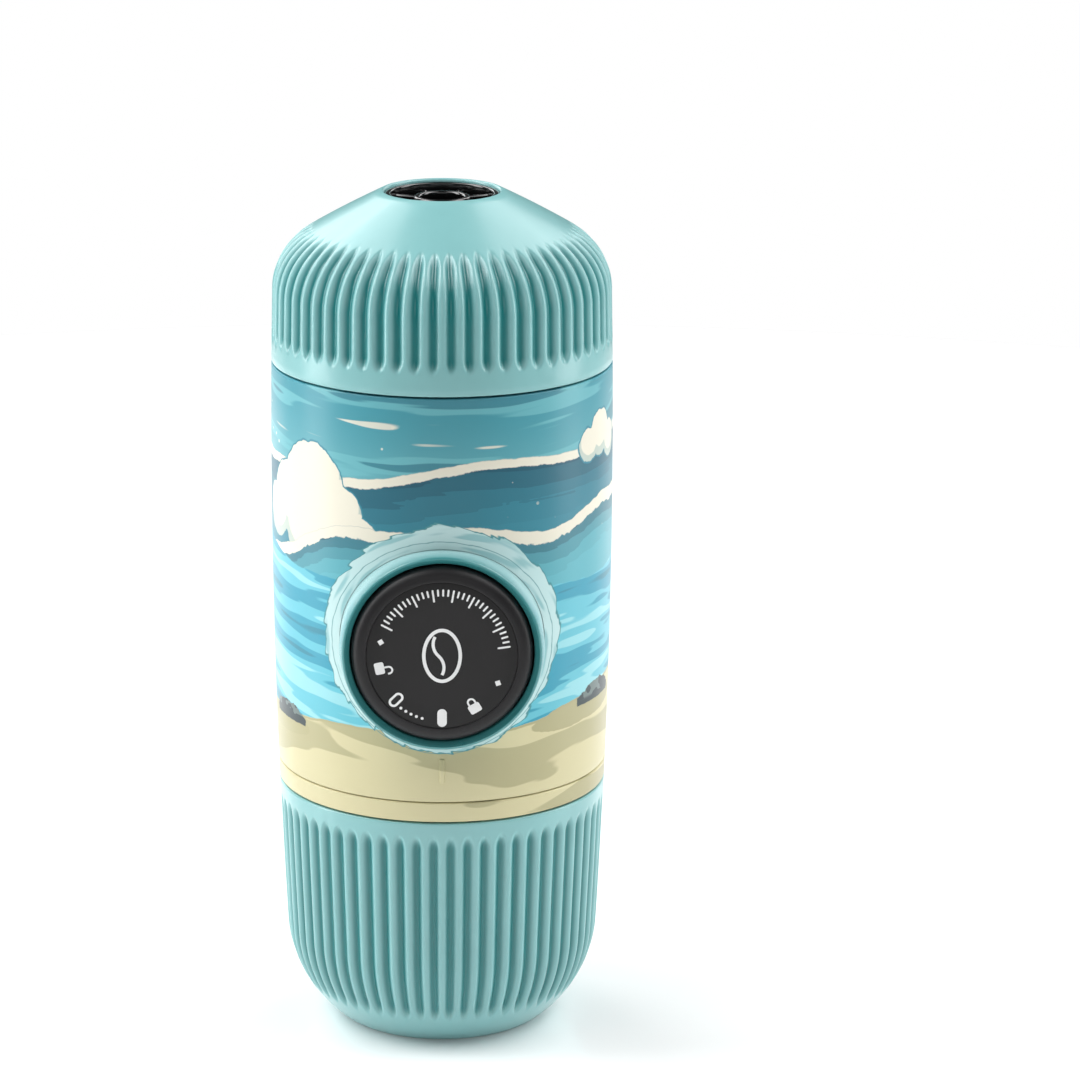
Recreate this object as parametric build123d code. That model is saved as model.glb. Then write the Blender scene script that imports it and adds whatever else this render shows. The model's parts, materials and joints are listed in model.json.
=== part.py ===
"""Handheld manual espresso maker: hand pump, water tank, cup and screw-on outlet head.

Millimetres. +Z is up, the pump knob faces -Y, and the origin is the centre of the cup's base.
Every piece is lathed about Z, or about the pump axis, and then cut, patterned or ribbed.
"""
from build123d import *
from math import asin, cos, degrees, radians, sin, sqrt, tan
import os

# ---------------------------------------------------------------- clearances
SEAM = 0.35              # open joint line between outer shells
HAIRLINE = 0.2           # joint line between the band and the printed shell
RUN_FIT = 0.06           # radial clearance of a shaft that slides or turns in a bore
SEAT = 0.05              # radial gap of a piece that is pressed or screwed home
SLIP = 0.3               # gap between walls that slide past one another loosely
REST = 0.2               # gap left where one piece rests on the next

# ---------------------------------------------------------------- outer form
HEIGHT = 156.0           # base to the rim of the outlet window
BELLY_R = 31.1           # largest outer radius
BELLY_Z = 102.0          # height of the largest radius
BARREL_R = 1600.0        # radius of the long barrel arc that all side walls share
CUP_CORNER_R = 24.0      # big round between the cup's base and its wall
CUP_CORNER_Z = 18.5      # height where that round meets the wall
SHOULDER_R = 12.3        # round of the dome's shoulder
SHOULDER_Z = 138.2       # height where the shoulder leaves the wall
SHOULDER_END = 59.0      # degrees round the shoulder where the crown takes over
CUP_RIM_Z = 46.15
BAND_H = 3.6             # plain band between the cup and the printed shell
SHELL_TOP_Z = 124.75
WALL = 1.8               # moulded wall of the outer shells
EDGE_R = 0.3             # broken edge of the outer shells

# ---------------------------------------------------------------- flutes
FLUTES = 60
FLUTE_R = 1.4            # radius of the scallop's cross-section
FLUTE_DEPTH = 0.9
RUN_OUT_R = 4.0          # a flute ends on an arc of this radius
RUN_OUT_ARC = 50.0       # degrees of that arc
CUP_FLUTE_TOP = 40.6     # height where the cup's flutes start to run out
CUP_FLUTE_TURN = 23.0    # degrees that they follow the cup's corner
DOME_FLUTE_FOOT = 131.6
DOME_FLUTE_TURN = 50.0

# ---------------------------------------------------------------- cup and tank
CUP_FLOOR = 2.2
TANK_WALL = 1.6
TANK_FLOOR_Z = 8.2
TANK_SHOULDER_Z = 46.3
NECK_R = 25.0
NECK_WALL = 1.6
NECK_H = 8.3
VENT_R = 4.2             # lip of the umbrella valve in the tank's floor
VENT_LIP = 0.8
VENT_STEM_R = 1.4
VENT_HOLES = 4
VENT_HOLE_R = 0.55
VENT_BULB = 0.5
VENT_TAIL = 1.0
VENT_TAIL_TAPER = 0.6
NECK_RING_WIRE = 0.9     # section radius of the ring at the foot of the neck
GASKET_T = 1.1
GASKET_LIP = 0.8         # the tank's gasket reaches this far inside the neck

# ---------------------------------------------------------------- pump housing
SOCKET_WALL = 2.2
SOCKET_FLANGE_T = 1.5
PLATE_T = 2.4            # floor plate over the tank
DECK_Z = 121.6
DECK_T = 2.8
BREW_NECK_R = 25.9
BREW_NECK_TOP = 129.6
BREW_BORE_R = 22.4
BREW_LEDGE_R = 20.4
BREW_WALL = 4.0
LEDGE_Z = 127.6
PLENUM_DEPTH = 1.2
WEB_T = 2.4
WEB_REACH = 24.5
COLUMN_R = 5.0           # valve columns

# ---------------------------------------------------------------- pump, measured outwards along its axis
PUMP_Z = 79.3
STROKE = 17.0
BORE_R = 6.5
LINER_T = 1.0
BARREL_T = 3.0
BARREL_BACK = -25.0      # back end of the housing's barrel
LINER_FRONT = 6.5
CHAMBER_BACK = -20.0     # face of the end cap
DEAD_LENGTH = 3.5        # water left behind the piston at the end of its stroke
PISTON_L = 5.0
ROD_R = 4.5
GLAND_BACK = 9.5
CUP_FLOOR_OUT = 12.5     # floor of the well that the knob slides in
GUIDE_FLANGE = 1.5
WELL_OUT = 20.0          # mouth of the housing's well, where the boss ring takes over
RING_FACE = 34.4
RING_R = 18.2
RING_FACE_R = 17.8       # the flank's radius at the face
RING_TAPER_L = 6.0       # length of the flank's taper
RING_ROUND = 0.5
RING_DISH = 0.8          # how far the face falls from its crest to the bore
INDEX_Z = 56.3           # middle of the raised index rib under the knob
INDEX_W = 0.9
INDEX_H = 4.6
INDEX_PROUD = 0.3

# ---------------------------------------------------------------- knob
KNOB_R = 16.1
KNOB_FACE = 35.4
KNOB_BACK = 13.5
KNOB_ROUND = 2.2
KNOB_WALL = 1.7
KNOB_FRONT_T = 3.4
DIAL_R = 13.4
DIAL_T = 1.0
DIAL_DEPTH = 0.5         # the dial's face lies this far below the knob's rim
DIAL_EDGE = 0.25
DIAL_LIP_R = 0.35        # round of the rim where it falls to the dial
HUB_R = 6.5
HUB_BACK = 24.0
STUB_R = 3.0
SCREW_HEAD_R = 4.0
SCREW_HEAD_T = 2.0
SCREW_R = 1.5
SCREW_L = 9.0
SCREW_SLOT_W = 0.9
SCREW_SLOT_L = 4.2
LUGS = 3
LUG_L = 2.0
LUG_H = 1.0              # how far a lug stands out of the knob's skirt
LUG_ARC = 20.0
LUG_SLACK = 1.0          # degrees free at each end of a lug's travel
LOCK_TURN = 45.0

# ---------------------------------------------------------------- springs
RETURN_COIL_R = 8.4
RETURN_WIRE_R = 0.6
RETURN_TURNS = 5
VALVE_COIL_R = 1.6
VALVE_WIRE_R = 0.22
VALVE_TURNS = 4
VALVE_SPRING_L = 4.0
WIRE_SIDES = 8

# ---------------------------------------------------------------- check valves
BALL_R = 2.0
SEAT_R = 3.4
SEAT_L = 5.2
SEAT_HOLE_R = 1.3
CONE_LAND = 0.9          # flat ring left round the seat's cone
PORT_R = 1.5
INLET_SEAT_Z = 57.3      # foot of the inlet valve's seat
OUTLET_SEAT_Z = 108.0
STRAINER_R = 3.5
STRAINER_T = 0.6
STRAINER_CIRCLE = 2.0
STRAINER_HOLES = 6

# ---------------------------------------------------------------- seals and end cap
CAP_STEP = 1.4           # the end cap's plug is this much wider than the liner
CAP_RIM = 0.8
CAP_T = 1.5              # the cap's rim behind the barrel
CAP_SLOT_W = 1.6
CAP_RING_WIRE = 0.6
CAP_GROOVE_T = 1.4
CAP_GROOVE_DEPTH = 1.3
CAP_GROOVE_BACK = 2.5    # middle of the groove behind the cap's face
PISTON_RING_WIRE = 0.72
PISTON_GROOVE_T = 1.8
PISTON_GROOVE_DEPTH = 1.5
SEAL_LIP = 1.0
SEAL_ROOT = 1.4
SEAL_SKIN = 0.4
SEAL_CUP = 1.2           # depth of the rod seal's hollow

# ---------------------------------------------------------------- brewing parts
SCREEN_T = 0.6
BREW_GASKET_T = 1.4
BREW_GASKET_IN = 19.6
BASKET_R = 19.7
STEEL_T = 0.5
BASKET_H = 15.5
BASKET_BEND = 1.2
FLANGE_R = 22.2
SCOOP_WALL = 1.3
SCOOP_FLOOR = 1.5
SCOOP_DRAFT = 0.25
SCOOP_EDGE = 1.2
HOLE_R = 0.55            # holes of the screen and the basket
HOLE_RINGS = ((0.0, 1), (5.5, 6), (11.0, 12), (16.5, 18))

# ---------------------------------------------------------------- outlet head
COLLAR_TOP = 133.0
COLLAR_STEP_Z = 130.4
STEP_R = 22.6
COLLAR_SLOPE = 1.0
HOLDER_WALL = 1.5
HOLDER_BEVEL = 2.0
ROOF_T = 1.6
FUNNEL_DROP = 0.6
FINS = 10
FIN_T = 1.2
FIN_TOP = 139.0
WINDOW_R = 10.45
LIP_R = 0.5              # rolled edge of the window
CROWN_T = 2.2
BOWL_GAP = 0.15
BOWL_WALL = 1.0
BOWL_FLOOR_T = 1.2
BOWL_FLOOR_R = 7.6
BOWL_STRAIGHT = 3.0      # upright stretch under the bowl's rim
BOWL_FLOOR_ROUND = 1.2
BOWL_RIM_ROUND = 0.25
NOZZLE_R = 2.9
NOZZLE_BORE_R = 1.7
NOZZLE_TOP = 151.4
NOZZLE_LIP = 0.5
NOZZLE_TIP = 0.8         # height of the nozzle's tapered tip
VANES = 8
VANE_T = 0.9
VANE_H = 1.5
VANE_RING_R = 4.4
VANE_RING_T = 0.7
ROOT = 0.5               # how deep a rib or ring is sunk into the wall that carries it

# ---------------------------------------------------------------- worked-out sizes
FLUTED_WALL = WALL + FLUTE_DEPTH
BARREL_X = BELLY_R - BARREL_R
BAND_Z = CUP_RIM_Z + SEAM
SHELL_Z = BAND_Z + BAND_H + HAIRLINE
DOME_Z = SHELL_TOP_Z + SEAM
TANK_INSET = FLUTED_WALL + SLIP
TANK_TOP = TANK_SHOULDER_Z + NECK_H
NECK_IN = NECK_R - NECK_WALL
SOCKET_R = NECK_R + SLIP
RING_TOP = TANK_SHOULDER_Z + REST + 2 * NECK_RING_WIRE
SKIRT_FOOT = RING_TOP + REST
PLATE_Z = TANK_TOP + GASKET_T + 2 * REST
SKIRT_OUT = SOCKET_R + SOCKET_WALL
BAND_IN = SKIRT_OUT + SLIP
VALVE_Y = -(CHAMBER_BACK + DEAD_LENGTH / 2)
PISTON_BACK = CHAMBER_BACK + DEAD_LENGTH
WELL_R = KNOB_R + SLIP
LUG_TIP_R = KNOB_R + LUG_H
SLOT_R = LUG_TIP_R + SLIP
SLOT_END = KNOB_BACK + LUG_L + STROKE + SLIP + REST
BARREL_OUT_R = BORE_R + LINER_T + SEAT + BARREL_T
GLAND_R = BORE_R + LINER_T
PLUG_R = GLAND_R + CAP_STEP
PISTON_R = BORE_R - RUN_FIT
BRASS_BORE_R = SEAT_R + SEAT
SCREEN_Z = LEDGE_Z + REST
BREW_GASKET_Z = SCREEN_Z + SCREEN_T + REST
BASKET_Z = BREW_GASKET_Z + BREW_GASKET_T + REST
BASKET_TOP = BASKET_Z + BASKET_H
SCOOP_Z = SCREEN_Z + SCREEN_T + SLIP
SCOOP_R = BASKET_R - STEEL_T - SLIP
SCOOP_TOP = BASKET_TOP - STEEL_T - SLIP
TOP_GASKET_Z = BASKET_Z + STEEL_T + REST
HOLDER_STEP_Z = TOP_GASKET_Z + GASKET_T + REST
HOLDER_R = BASKET_R + SLIP
HOLDER_TOP = BASKET_TOP + SLIP
COLLAR_IN = BREW_NECK_R + SLIP
ROOF_Z = HOLDER_TOP + ROOF_T
BOWL_Z = ROOF_Z + SLIP
BOWL_R = WINDOW_R - BOWL_GAP
BOWL_TOP = HEIGHT - LIP_R


# ---------------------------------------------------------------- outline helpers
def barrel_point(z, inset=0.0):
    """Point of the barrel-shaped wall at height z, moved inwards by inset."""
    radius = BARREL_R - inset
    rise = z - BELLY_Z
    return (BARREL_X + sqrt(radius**2 - rise**2), z)


def barrel_arc(z0, z1, inset=0.0):
    """Stretch of the barrel-shaped wall from height z0 to z1."""
    middle = barrel_point((z0 + z1) / 2, inset)
    return ThreePointArc(barrel_point(z0, inset), middle, barrel_point(z1, inset))


def corner_of(z, corner_r):
    """Centre of a round that leaves the barrel wall at height z, and the wall's lean there."""
    lean = asin((z - BELLY_Z) / BARREL_R)
    reach = BARREL_R - corner_r
    return (BARREL_X + reach * cos(lean), BELLY_Z + reach * sin(lean)), degrees(lean)


def on_circle(centre, radius, angle):
    """Point of a circle at an angle in degrees."""
    return (centre[0] + radius * cos(radians(angle)), centre[1] + radius * sin(radians(angle)))


def round_of(centre, radius, start, end):
    """Arc of a circle between two angles in degrees."""
    return ThreePointArc(
        on_circle(centre, radius, start),
        on_circle(centre, radius, (start + end) / 2),
        on_circle(centre, radius, end),
    )


def soft_round(centre, radius, start, end):
    """The same arc as a Bezier curve, for rounds whose centre lies near the axis of turning."""
    pull = 4 / 3 * tan(radians(end - start) / 4) * radius
    first, last = on_circle(centre, radius, start), on_circle(centre, radius, end)
    leave = (first[0] - pull * sin(radians(start)), first[1] + pull * cos(radians(start)))
    arrive = (last[0] + pull * sin(radians(end)), last[1] - pull * cos(radians(end)))
    return Bezier(first, leave, arrive, last)


def angle_at(centre, radius, z):
    """Angle at which the right-hand side of a circle reaches height z."""
    return degrees(asin((z - centre[1]) / radius))


def lathe(*edges):
    """Solid turned about Z from edges drawn as (radius, height)."""
    return revolve(Plane.XZ * make_face(Curve() + list(edges)), Axis.Z)


def turned(*points):
    """Solid turned about Z from a closed outline of straight lines."""
    return lathe(Polyline(*points, close=True))


def ring(r_in, r_out, z0, z1):
    """Flat-ended ring about Z."""
    return turned((r_in, z0), (r_out, z0), (r_out, z1), (r_in, z1))


def disc(radius, z0, z1):
    """Flat-ended cylinder about Z."""
    return Pos(0, 0, z0) * Cylinder(radius, z1 - z0, align=(Align.CENTER, Align.CENTER, Align.MIN))


def around(count, piece, start=0.0):
    """Copies of a piece turned about Z in equal steps."""
    return [Rot(0, 0, start + i * 360 / count) * piece for i in range(count)]


def on_pump_axis(piece):
    """Carries a piece drawn along +Z on to the pump axis, where +Z points out of the front."""
    return Pos(0, 0, PUMP_Z) * Rot(90, 0, 0) * piece


def at_valves(piece):
    """Carries a piece drawn about Z on to the valve columns' axis."""
    return Pos(0, VALVE_Y, 0) * piece


def ring_sector(r_in, r_out, z0, z1, start, arc):
    """Part of a ring, from the angle start over arc degrees."""
    outline = Polyline((r_in, z0), (r_out, z0), (r_out, z1), (r_in, z1), close=True)
    return Rot(0, 0, start) * revolve(Plane.XZ * make_face(outline), Axis.Z, arc)


def coil(coil_r, wire_r, z0, z1, turns):
    """Compression spring between two heights, its wire a rounded polygon in section."""
    low, high = z0 + wire_r, z1 - wire_r
    path = Helix(pitch=(high - low) / turns, height=high - low, radius=coil_r)
    section = Plane(origin=path @ 0, z_dir=path % 0) * RegularPolygon(wire_r, WIRE_SIDES)
    return Pos(0, 0, low) * sweep(section, path=path, is_frenet=True)


def sieve_holes(z0, z1):
    """Hole pattern of the screen and the basket, as cutters."""
    cutters = []
    for radius, count in HOLE_RINGS:
        cutters += around(count, Pos(radius, 0, 0) * disc(HOLE_R, z0, z1))
    return cutters


# ---------------------------------------------------------------- flutes
def flute(centre, lean, corner_r, end_z, turn, up):
    """Cutter of one flute: a round bar that follows the wall and the corner, and swings out at both ends.

    up is 1 where the corner lies above the wall, as on the dome, and -1 on the cup.
    """
    radius = corner_r + FLUTE_R - FLUTE_DEPTH
    end = lean + up * turn
    start = on_circle(centre, radius, lean)
    slope = tan(radians(lean))
    foot = (start[0] - slope * (end_z - start[1]), end_z)
    stretches = [
        bar(Line(foot, start)),
        bar(arc_between(centre, radius, lean, end)),
        bar(run_out(foot, lean, up)),
        bar(run_out(on_circle(centre, radius, end), end, -up)),
    ]
    return stretches[0].fuse(*stretches[1:])


def arc_between(centre, radius, start, end):
    """Arc that always runs anticlockwise, so that a bar swept along it is the right way out."""
    return round_of(centre, radius, min(start, end), max(start, end))


def run_out(point, normal, up):
    """Arc that leaves the wall at a point with this outward normal, downwards if up is 1."""
    centre = on_circle(point, RUN_OUT_R, normal)
    return arc_between(centre, RUN_OUT_R, normal + 180, normal + 180 + up * RUN_OUT_ARC)


def bar(line):
    """Round bar of a flute's section along one line of the radius-height plane."""
    path = Plane.XZ * line
    return sweep(Plane(origin=path @ 0, z_dir=path % 0) * Circle(FLUTE_R), path=path)


def fluted(shell, cutter):
    """Cuts the flutes so that a rib, not a flute, stands at the centre of the front."""
    return shell - around(FLUTES, cutter, 180 / FLUTES)


# ---------------------------------------------------------------- cup and tank
def cup():
    centre, lean = corner_of(CUP_CORNER_Z, CUP_CORNER_R)
    inner_r = CUP_CORNER_R - FLUTED_WALL
    base = angle_at(centre, CUP_CORNER_R, 0)
    floor = angle_at(centre, inner_r, CUP_FLOOR)
    outside = soft_round(centre, CUP_CORNER_R, base, lean)
    inside = soft_round(centre, inner_r, floor, lean)
    wall_out = barrel_arc((outside @ 1).Y, CUP_RIM_Z)
    wall_in = barrel_arc((inside @ 1).Y, CUP_RIM_Z, FLUTED_WALL)
    body = lathe(
        Line((0, 0), outside @ 0),
        outside,
        wall_out,
        Line(wall_out @ 1, wall_in @ 1),
        wall_in,
        inside,
        Line(inside @ 0, (0, CUP_FLOOR)),
        Line((0, CUP_FLOOR), (0, 0)),
    )
    rim = body.edges().filter_by(GeomType.CIRCLE).group_by(Axis.Z)[-1].sort_by(SortBy.LENGTH)
    body = fillet(rim[-1], EDGE_R)
    cutter = flute(centre, lean, CUP_CORNER_R, CUP_FLUTE_TOP, CUP_FLUTE_TURN, -1)
    return fluted(body, cutter)


def tank():
    centre, lean = corner_of(CUP_CORNER_Z, CUP_CORNER_R)
    outer_r = CUP_CORNER_R - TANK_INSET
    inner_r = outer_r - TANK_WALL
    inner_floor = TANK_FLOOR_Z + TANK_WALL
    inner_shoulder = TANK_SHOULDER_Z - TANK_WALL
    outside = soft_round(centre, outer_r, angle_at(centre, outer_r, TANK_FLOOR_Z), lean)
    inside = soft_round(centre, inner_r, angle_at(centre, inner_r, inner_floor), lean)
    wall_out = barrel_arc((outside @ 1).Y, TANK_SHOULDER_Z, TANK_INSET)
    wall_in = barrel_arc((inside @ 1).Y, inner_shoulder, TANK_INSET + TANK_WALL)
    body = lathe(
        Line((0, TANK_FLOOR_Z), outside @ 0),
        outside,
        wall_out,
        Polyline(
            wall_out @ 1,
            (NECK_R, TANK_SHOULDER_Z),
            (NECK_R, TANK_TOP),
            (NECK_IN, TANK_TOP),
            (NECK_IN, inner_shoulder),
            wall_in @ 1,
        ),
        wall_in,
        inside,
        Line(inside @ 0, (0, inner_floor)),
        Line((0, inner_floor), (0, TANK_FLOOR_Z)),
    )
    hole_circle = (VENT_R + VENT_STEM_R) / 2
    small = Pos(hole_circle, 0, 0) * disc(VENT_HOLE_R, 0, inner_floor + 1)
    return body - disc(VENT_STEM_R + SEAT, 0, inner_floor + 1) - around(VENT_HOLES, small)


def vent_valve():
    """Rubber umbrella in the tank's floor: it lets air in while the pump draws water."""
    inner_floor = TANK_FLOOR_Z + TANK_WALL
    head = inner_floor + SEAT
    tail = TANK_FLOOR_Z - VENT_TAIL
    return turned(
        (0, tail),
        (VENT_STEM_R - VENT_TAIL_TAPER, tail),
        (VENT_STEM_R + VENT_BULB, TANK_FLOOR_Z - SEAT),
        (VENT_STEM_R, TANK_FLOOR_Z - SEAT),
        (VENT_STEM_R, head),
        (VENT_R, head),
        (VENT_R, head + VENT_LIP / 2),
        (VENT_STEM_R, head + VENT_LIP),
        (0, head + VENT_LIP),
    )


def neck_ring():
    """Rubber ring at the foot of the tank's neck."""
    centre = NECK_R + RUN_FIT + NECK_RING_WIRE
    return Pos(0, 0, RING_TOP - NECK_RING_WIRE) * Torus(centre, NECK_RING_WIRE)


def tank_gasket():
    z = TANK_TOP + REST
    return ring(NECK_IN - GASKET_LIP, NECK_R, z, z + GASKET_T)


# ---------------------------------------------------------------- outer shells of the pump body
def lower_band():
    top = BAND_Z + BAND_H
    outside = barrel_arc(BAND_Z, top)
    return lathe(
        outside,
        Polyline(outside @ 1, (BAND_IN, top), (BAND_IN, BAND_Z), outside @ 0),
    )


def body_shell():
    """Printed sleeve, open at both ends, with a round hole for the knob's boss and an index rib below it."""
    outside = barrel_arc(SHELL_Z, SHELL_TOP_Z)
    inside = barrel_arc(SHELL_Z, SHELL_TOP_Z, WALL)
    sleeve = lathe(outside, Line(outside @ 1, inside @ 1), inside, Line(inside @ 0, outside @ 0))
    rib_t = INDEX_PROUD + 2 * ROOT
    rib_y = -barrel_point(INDEX_Z)[0] - INDEX_PROUD + rib_t / 2
    rib = Pos(0, rib_y, INDEX_Z) * Box(INDEX_W, rib_t, INDEX_H)
    return sleeve + rib - on_pump_axis(disc(RING_R + SLIP, 0, 2 * BELLY_R))


def lug_slots(z0, z1):
    """Room for the knob's lugs: each is as wide as a lug and the lock's turn together."""
    arc = LUG_ARC + LOCK_TURN + 2 * LUG_SLACK
    start = 90 - LUG_ARC / 2 - LUG_SLACK
    return [ring_sector(WELL_R - 1, SLOT_R, z0, z1, start + i * 360 / LUGS, arc) for i in range(LUGS)]


def boss_ring():
    """Ring that guides the knob: rounded crest, dished face, and slots inside that end the lugs' travel."""
    crest = round_of((RING_FACE_R - RING_ROUND, RING_FACE - RING_ROUND), RING_ROUND, 0, 90)
    body = lathe(
        Polyline((WELL_R, WELL_OUT), (RING_R, WELL_OUT), (RING_R, RING_FACE - RING_TAPER_L), crest @ 0),
        crest,
        Polyline(crest @ 1, (WELL_R, RING_FACE - RING_DISH), (WELL_R, WELL_OUT)),
    )
    for slot in lug_slots(WELL_OUT - 1, SLOT_END):
        body = body - slot
    return on_pump_axis(body)


# ---------------------------------------------------------------- pump housing
def housing_top():
    """Deck, threaded neck and brewing well."""
    deck_r = barrel_point(DECK_Z, WALL + SLIP)[0]
    plenum_z = LEDGE_Z - PLENUM_DEPTH
    under = plenum_z - PLATE_T
    return turned(
        (0, under),
        (BREW_NECK_R - BREW_WALL, under),
        (BREW_NECK_R - BREW_WALL, DECK_Z),
        (deck_r, DECK_Z),
        (deck_r, DECK_Z + DECK_T),
        (BREW_NECK_R, DECK_Z + DECK_T),
        (BREW_NECK_R, BREW_NECK_TOP),
        (BREW_BORE_R, BREW_NECK_TOP),
        (BREW_BORE_R, LEDGE_Z),
        (BREW_LEDGE_R, LEDGE_Z),
        (BREW_LEDGE_R, plenum_z),
        (0, plenum_z),
    )


def neck_socket():
    """Socket for the tank's neck, with the flange that fixes it under the floor plate."""
    flange_r = barrel_point(PLATE_Z, WALL + SLIP)[0]
    top = PLATE_Z - SEAT
    return turned(
        (SOCKET_R, SKIRT_FOOT),
        (SKIRT_OUT, SKIRT_FOOT),
        (SKIRT_OUT, top - SOCKET_FLANGE_T),
        (flange_r, top - SOCKET_FLANGE_T),
        (flange_r, top),
        (SOCKET_R, top),
    )


def webs():
    """Upright webs between the floor plate and the deck, along and across the pump."""
    low = PLATE_Z + PLATE_T / 2
    high = DECK_Z + DECK_T
    middle, height = (low + high) / 2, high - low
    front, back = -GLAND_BACK - PLATE_T / 2, VALVE_Y + COLUMN_R
    along = Pos(0, (front + back) / 2, middle) * Box(WEB_T, back - front, height)
    across = Pos(0, 0, middle) * Box(2 * WEB_REACH, WEB_T, height)
    return along + across


def pump_housing():
    """One moulding: floor plate, deck, webs, pump barrel, knob well and the two valve columns."""
    barrel = disc(BARREL_OUT_R, BARREL_BACK, CUP_FLOOR_OUT)
    well = ring(WELL_R, RING_R, CUP_FLOOR_OUT, WELL_OUT) + disc(RING_R, GLAND_BACK, CUP_FLOOR_OUT)
    column = at_valves(disc(COLUMN_R, PLATE_Z, DECK_Z + DECK_T))
    plate = disc(barrel_point(PLATE_Z, WALL + SLIP)[0], PLATE_Z, PLATE_Z + PLATE_T)
    body = plate + housing_top() + webs() + column
    body = body + on_pump_axis(barrel + well)
    body = body - on_pump_axis(disc(BORE_R + LINER_T + SEAT, BARREL_BACK - 1, LINER_FRONT))
    body = body - on_pump_axis(disc(GLAND_R + SEAT, LINER_FRONT - 1, CUP_FLOOR_OUT + 1))
    body = body - on_pump_axis(disc(PLUG_R + SEAT, BARREL_BACK - 1, CHAMBER_BACK))
    for slot in lug_slots(CUP_FLOOR_OUT, WELL_OUT + 1):
        body = body - on_pump_axis(slot)
    plenum_z = LEDGE_Z - PLENUM_DEPTH
    inlet_shoulder = INLET_SEAT_Z + SEAT_L + BALL_ROOM
    passage = disc(PORT_R, PLATE_Z - 1, plenum_z + 1)
    strainer_recess = disc(STRAINER_R + SEAT, PLATE_Z - 1, PLATE_Z + STRAINER_T + REST)
    inlet_bore = disc(BRASS_BORE_R, PLATE_Z - 1, inlet_shoulder)
    outlet_bore = disc(BRASS_BORE_R, OUTLET_SEAT_Z, plenum_z + 1)
    return body - at_valves(passage + strainer_recess + inlet_bore + outlet_bore)


# ---------------------------------------------------------------- check valves
CONE_RISE = (BALL_R + SEAT) * sqrt(2) - SEAT_HOLE_R   # ball's centre above the foot of the seat's cone
CONE_H = BRASS_BORE_R - SEAT_HOLE_R - CONE_LAND       # height of the cone
CONE_Z = SEAT_L - CONE_H                              # foot of the cone above the foot of the seat
BALL_ABOVE = CONE_Z + CONE_RISE
SPRING_ABOVE = BALL_ABOVE + sqrt(BALL_R**2 - VALVE_COIL_R**2) + SLIP
BALL_ROOM = SPRING_ABOVE + VALVE_SPRING_L + REST - SEAT_L


def valve_seat(foot):
    """Brass seat with a conical mouth for the ball."""
    mouth_r = SEAT_HOLE_R + CONE_H
    return at_valves(turned(
        (SEAT_HOLE_R, foot),
        (SEAT_R, foot),
        (SEAT_R, foot + SEAT_L),
        (mouth_r, foot + SEAT_L),
        (SEAT_HOLE_R, foot + CONE_Z),
    ))


def valve_ball(foot):
    return at_valves(Pos(0, 0, foot + BALL_ABOVE) * Sphere(BALL_R))


def valve_spring(foot):
    low = foot + SPRING_ABOVE
    return at_valves(coil(VALVE_COIL_R, VALVE_WIRE_R, low, low + VALVE_SPRING_L, VALVE_TURNS))


def inlet_valve_seat():
    return valve_seat(INLET_SEAT_Z)


def inlet_valve_ball():
    return valve_ball(INLET_SEAT_Z)


def inlet_valve_spring():
    return valve_spring(INLET_SEAT_Z)


def outlet_valve_seat():
    return valve_seat(OUTLET_SEAT_Z)


def outlet_valve_ball():
    return valve_ball(OUTLET_SEAT_Z)


def outlet_valve_spring():
    return valve_spring(OUTLET_SEAT_Z)


def outlet_valve_cap():
    """Screwed plug that holds the outlet valve's spring, with a hole for the water."""
    low = OUTLET_SEAT_Z + SEAT_L + BALL_ROOM
    top = LEDGE_Z - PLENUM_DEPTH
    return at_valves(ring(PORT_R, SEAT_R, low, top))


def inlet_strainer():
    low = PLATE_Z + SEAT
    mesh = disc(STRAINER_R, low, low + STRAINER_T)
    middle = disc(HOLE_R, low - 1, low + STRAINER_T + 1)
    return at_valves(mesh - middle - around(STRAINER_HOLES, Pos(STRAINER_CIRCLE, 0, 0) * middle))


# ---------------------------------------------------------------- pump
def pump_cylinder():
    """Steel liner of the barrel, with a port above and one below at its closed end."""
    liner = ring(BORE_R, BORE_R + LINER_T, CHAMBER_BACK, LINER_FRONT)
    ports = at_valves(disc(PORT_R, PUMP_Z - 2 * BORE_R, PUMP_Z + 2 * BORE_R))
    return on_pump_axis(liner) - ports


def cylinder_end_cap():
    """Screw-in plug at the barrel's closed end, with a groove for its ring and a slot for a coin."""
    foot = BARREL_BACK - CAP_T
    groove = CHAMBER_BACK - CAP_GROOVE_BACK
    body = disc(PLUG_R, foot, CHAMBER_BACK - SEAT) + disc(PLUG_R + CAP_RIM, foot, BARREL_BACK - SEAT)
    body = body - ring(
        PLUG_R - CAP_GROOVE_DEPTH, PLUG_R + 1, groove - CAP_GROOVE_T / 2, groove + CAP_GROOVE_T / 2
    )
    return on_pump_axis(body - Pos(0, 0, foot) * Box(2 * PLUG_R, CAP_SLOT_W, CAP_SLOT_W))


def end_cap_o_ring():
    circle_r = PLUG_R - CAP_RING_WIRE - SEAT
    return on_pump_axis(Pos(0, 0, CHAMBER_BACK - CAP_GROOVE_BACK) * Torus(circle_r, CAP_RING_WIRE))


def rod_guide():
    """Flanged bush that the rod slides in; the return spring stands on its flange."""
    flange_r = RETURN_COIL_R + 2 * RETURN_WIRE_R
    return on_pump_axis(turned(
        (ROD_R + RUN_FIT, GLAND_BACK),
        (GLAND_R, GLAND_BACK),
        (GLAND_R, CUP_FLOOR_OUT + SEAT),
        (flange_r, CUP_FLOOR_OUT + SEAT),
        (flange_r, CUP_FLOOR_OUT + GUIDE_FLANGE),
        (ROD_R + RUN_FIT, CUP_FLOOR_OUT + GUIDE_FLANGE),
    ))


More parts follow.
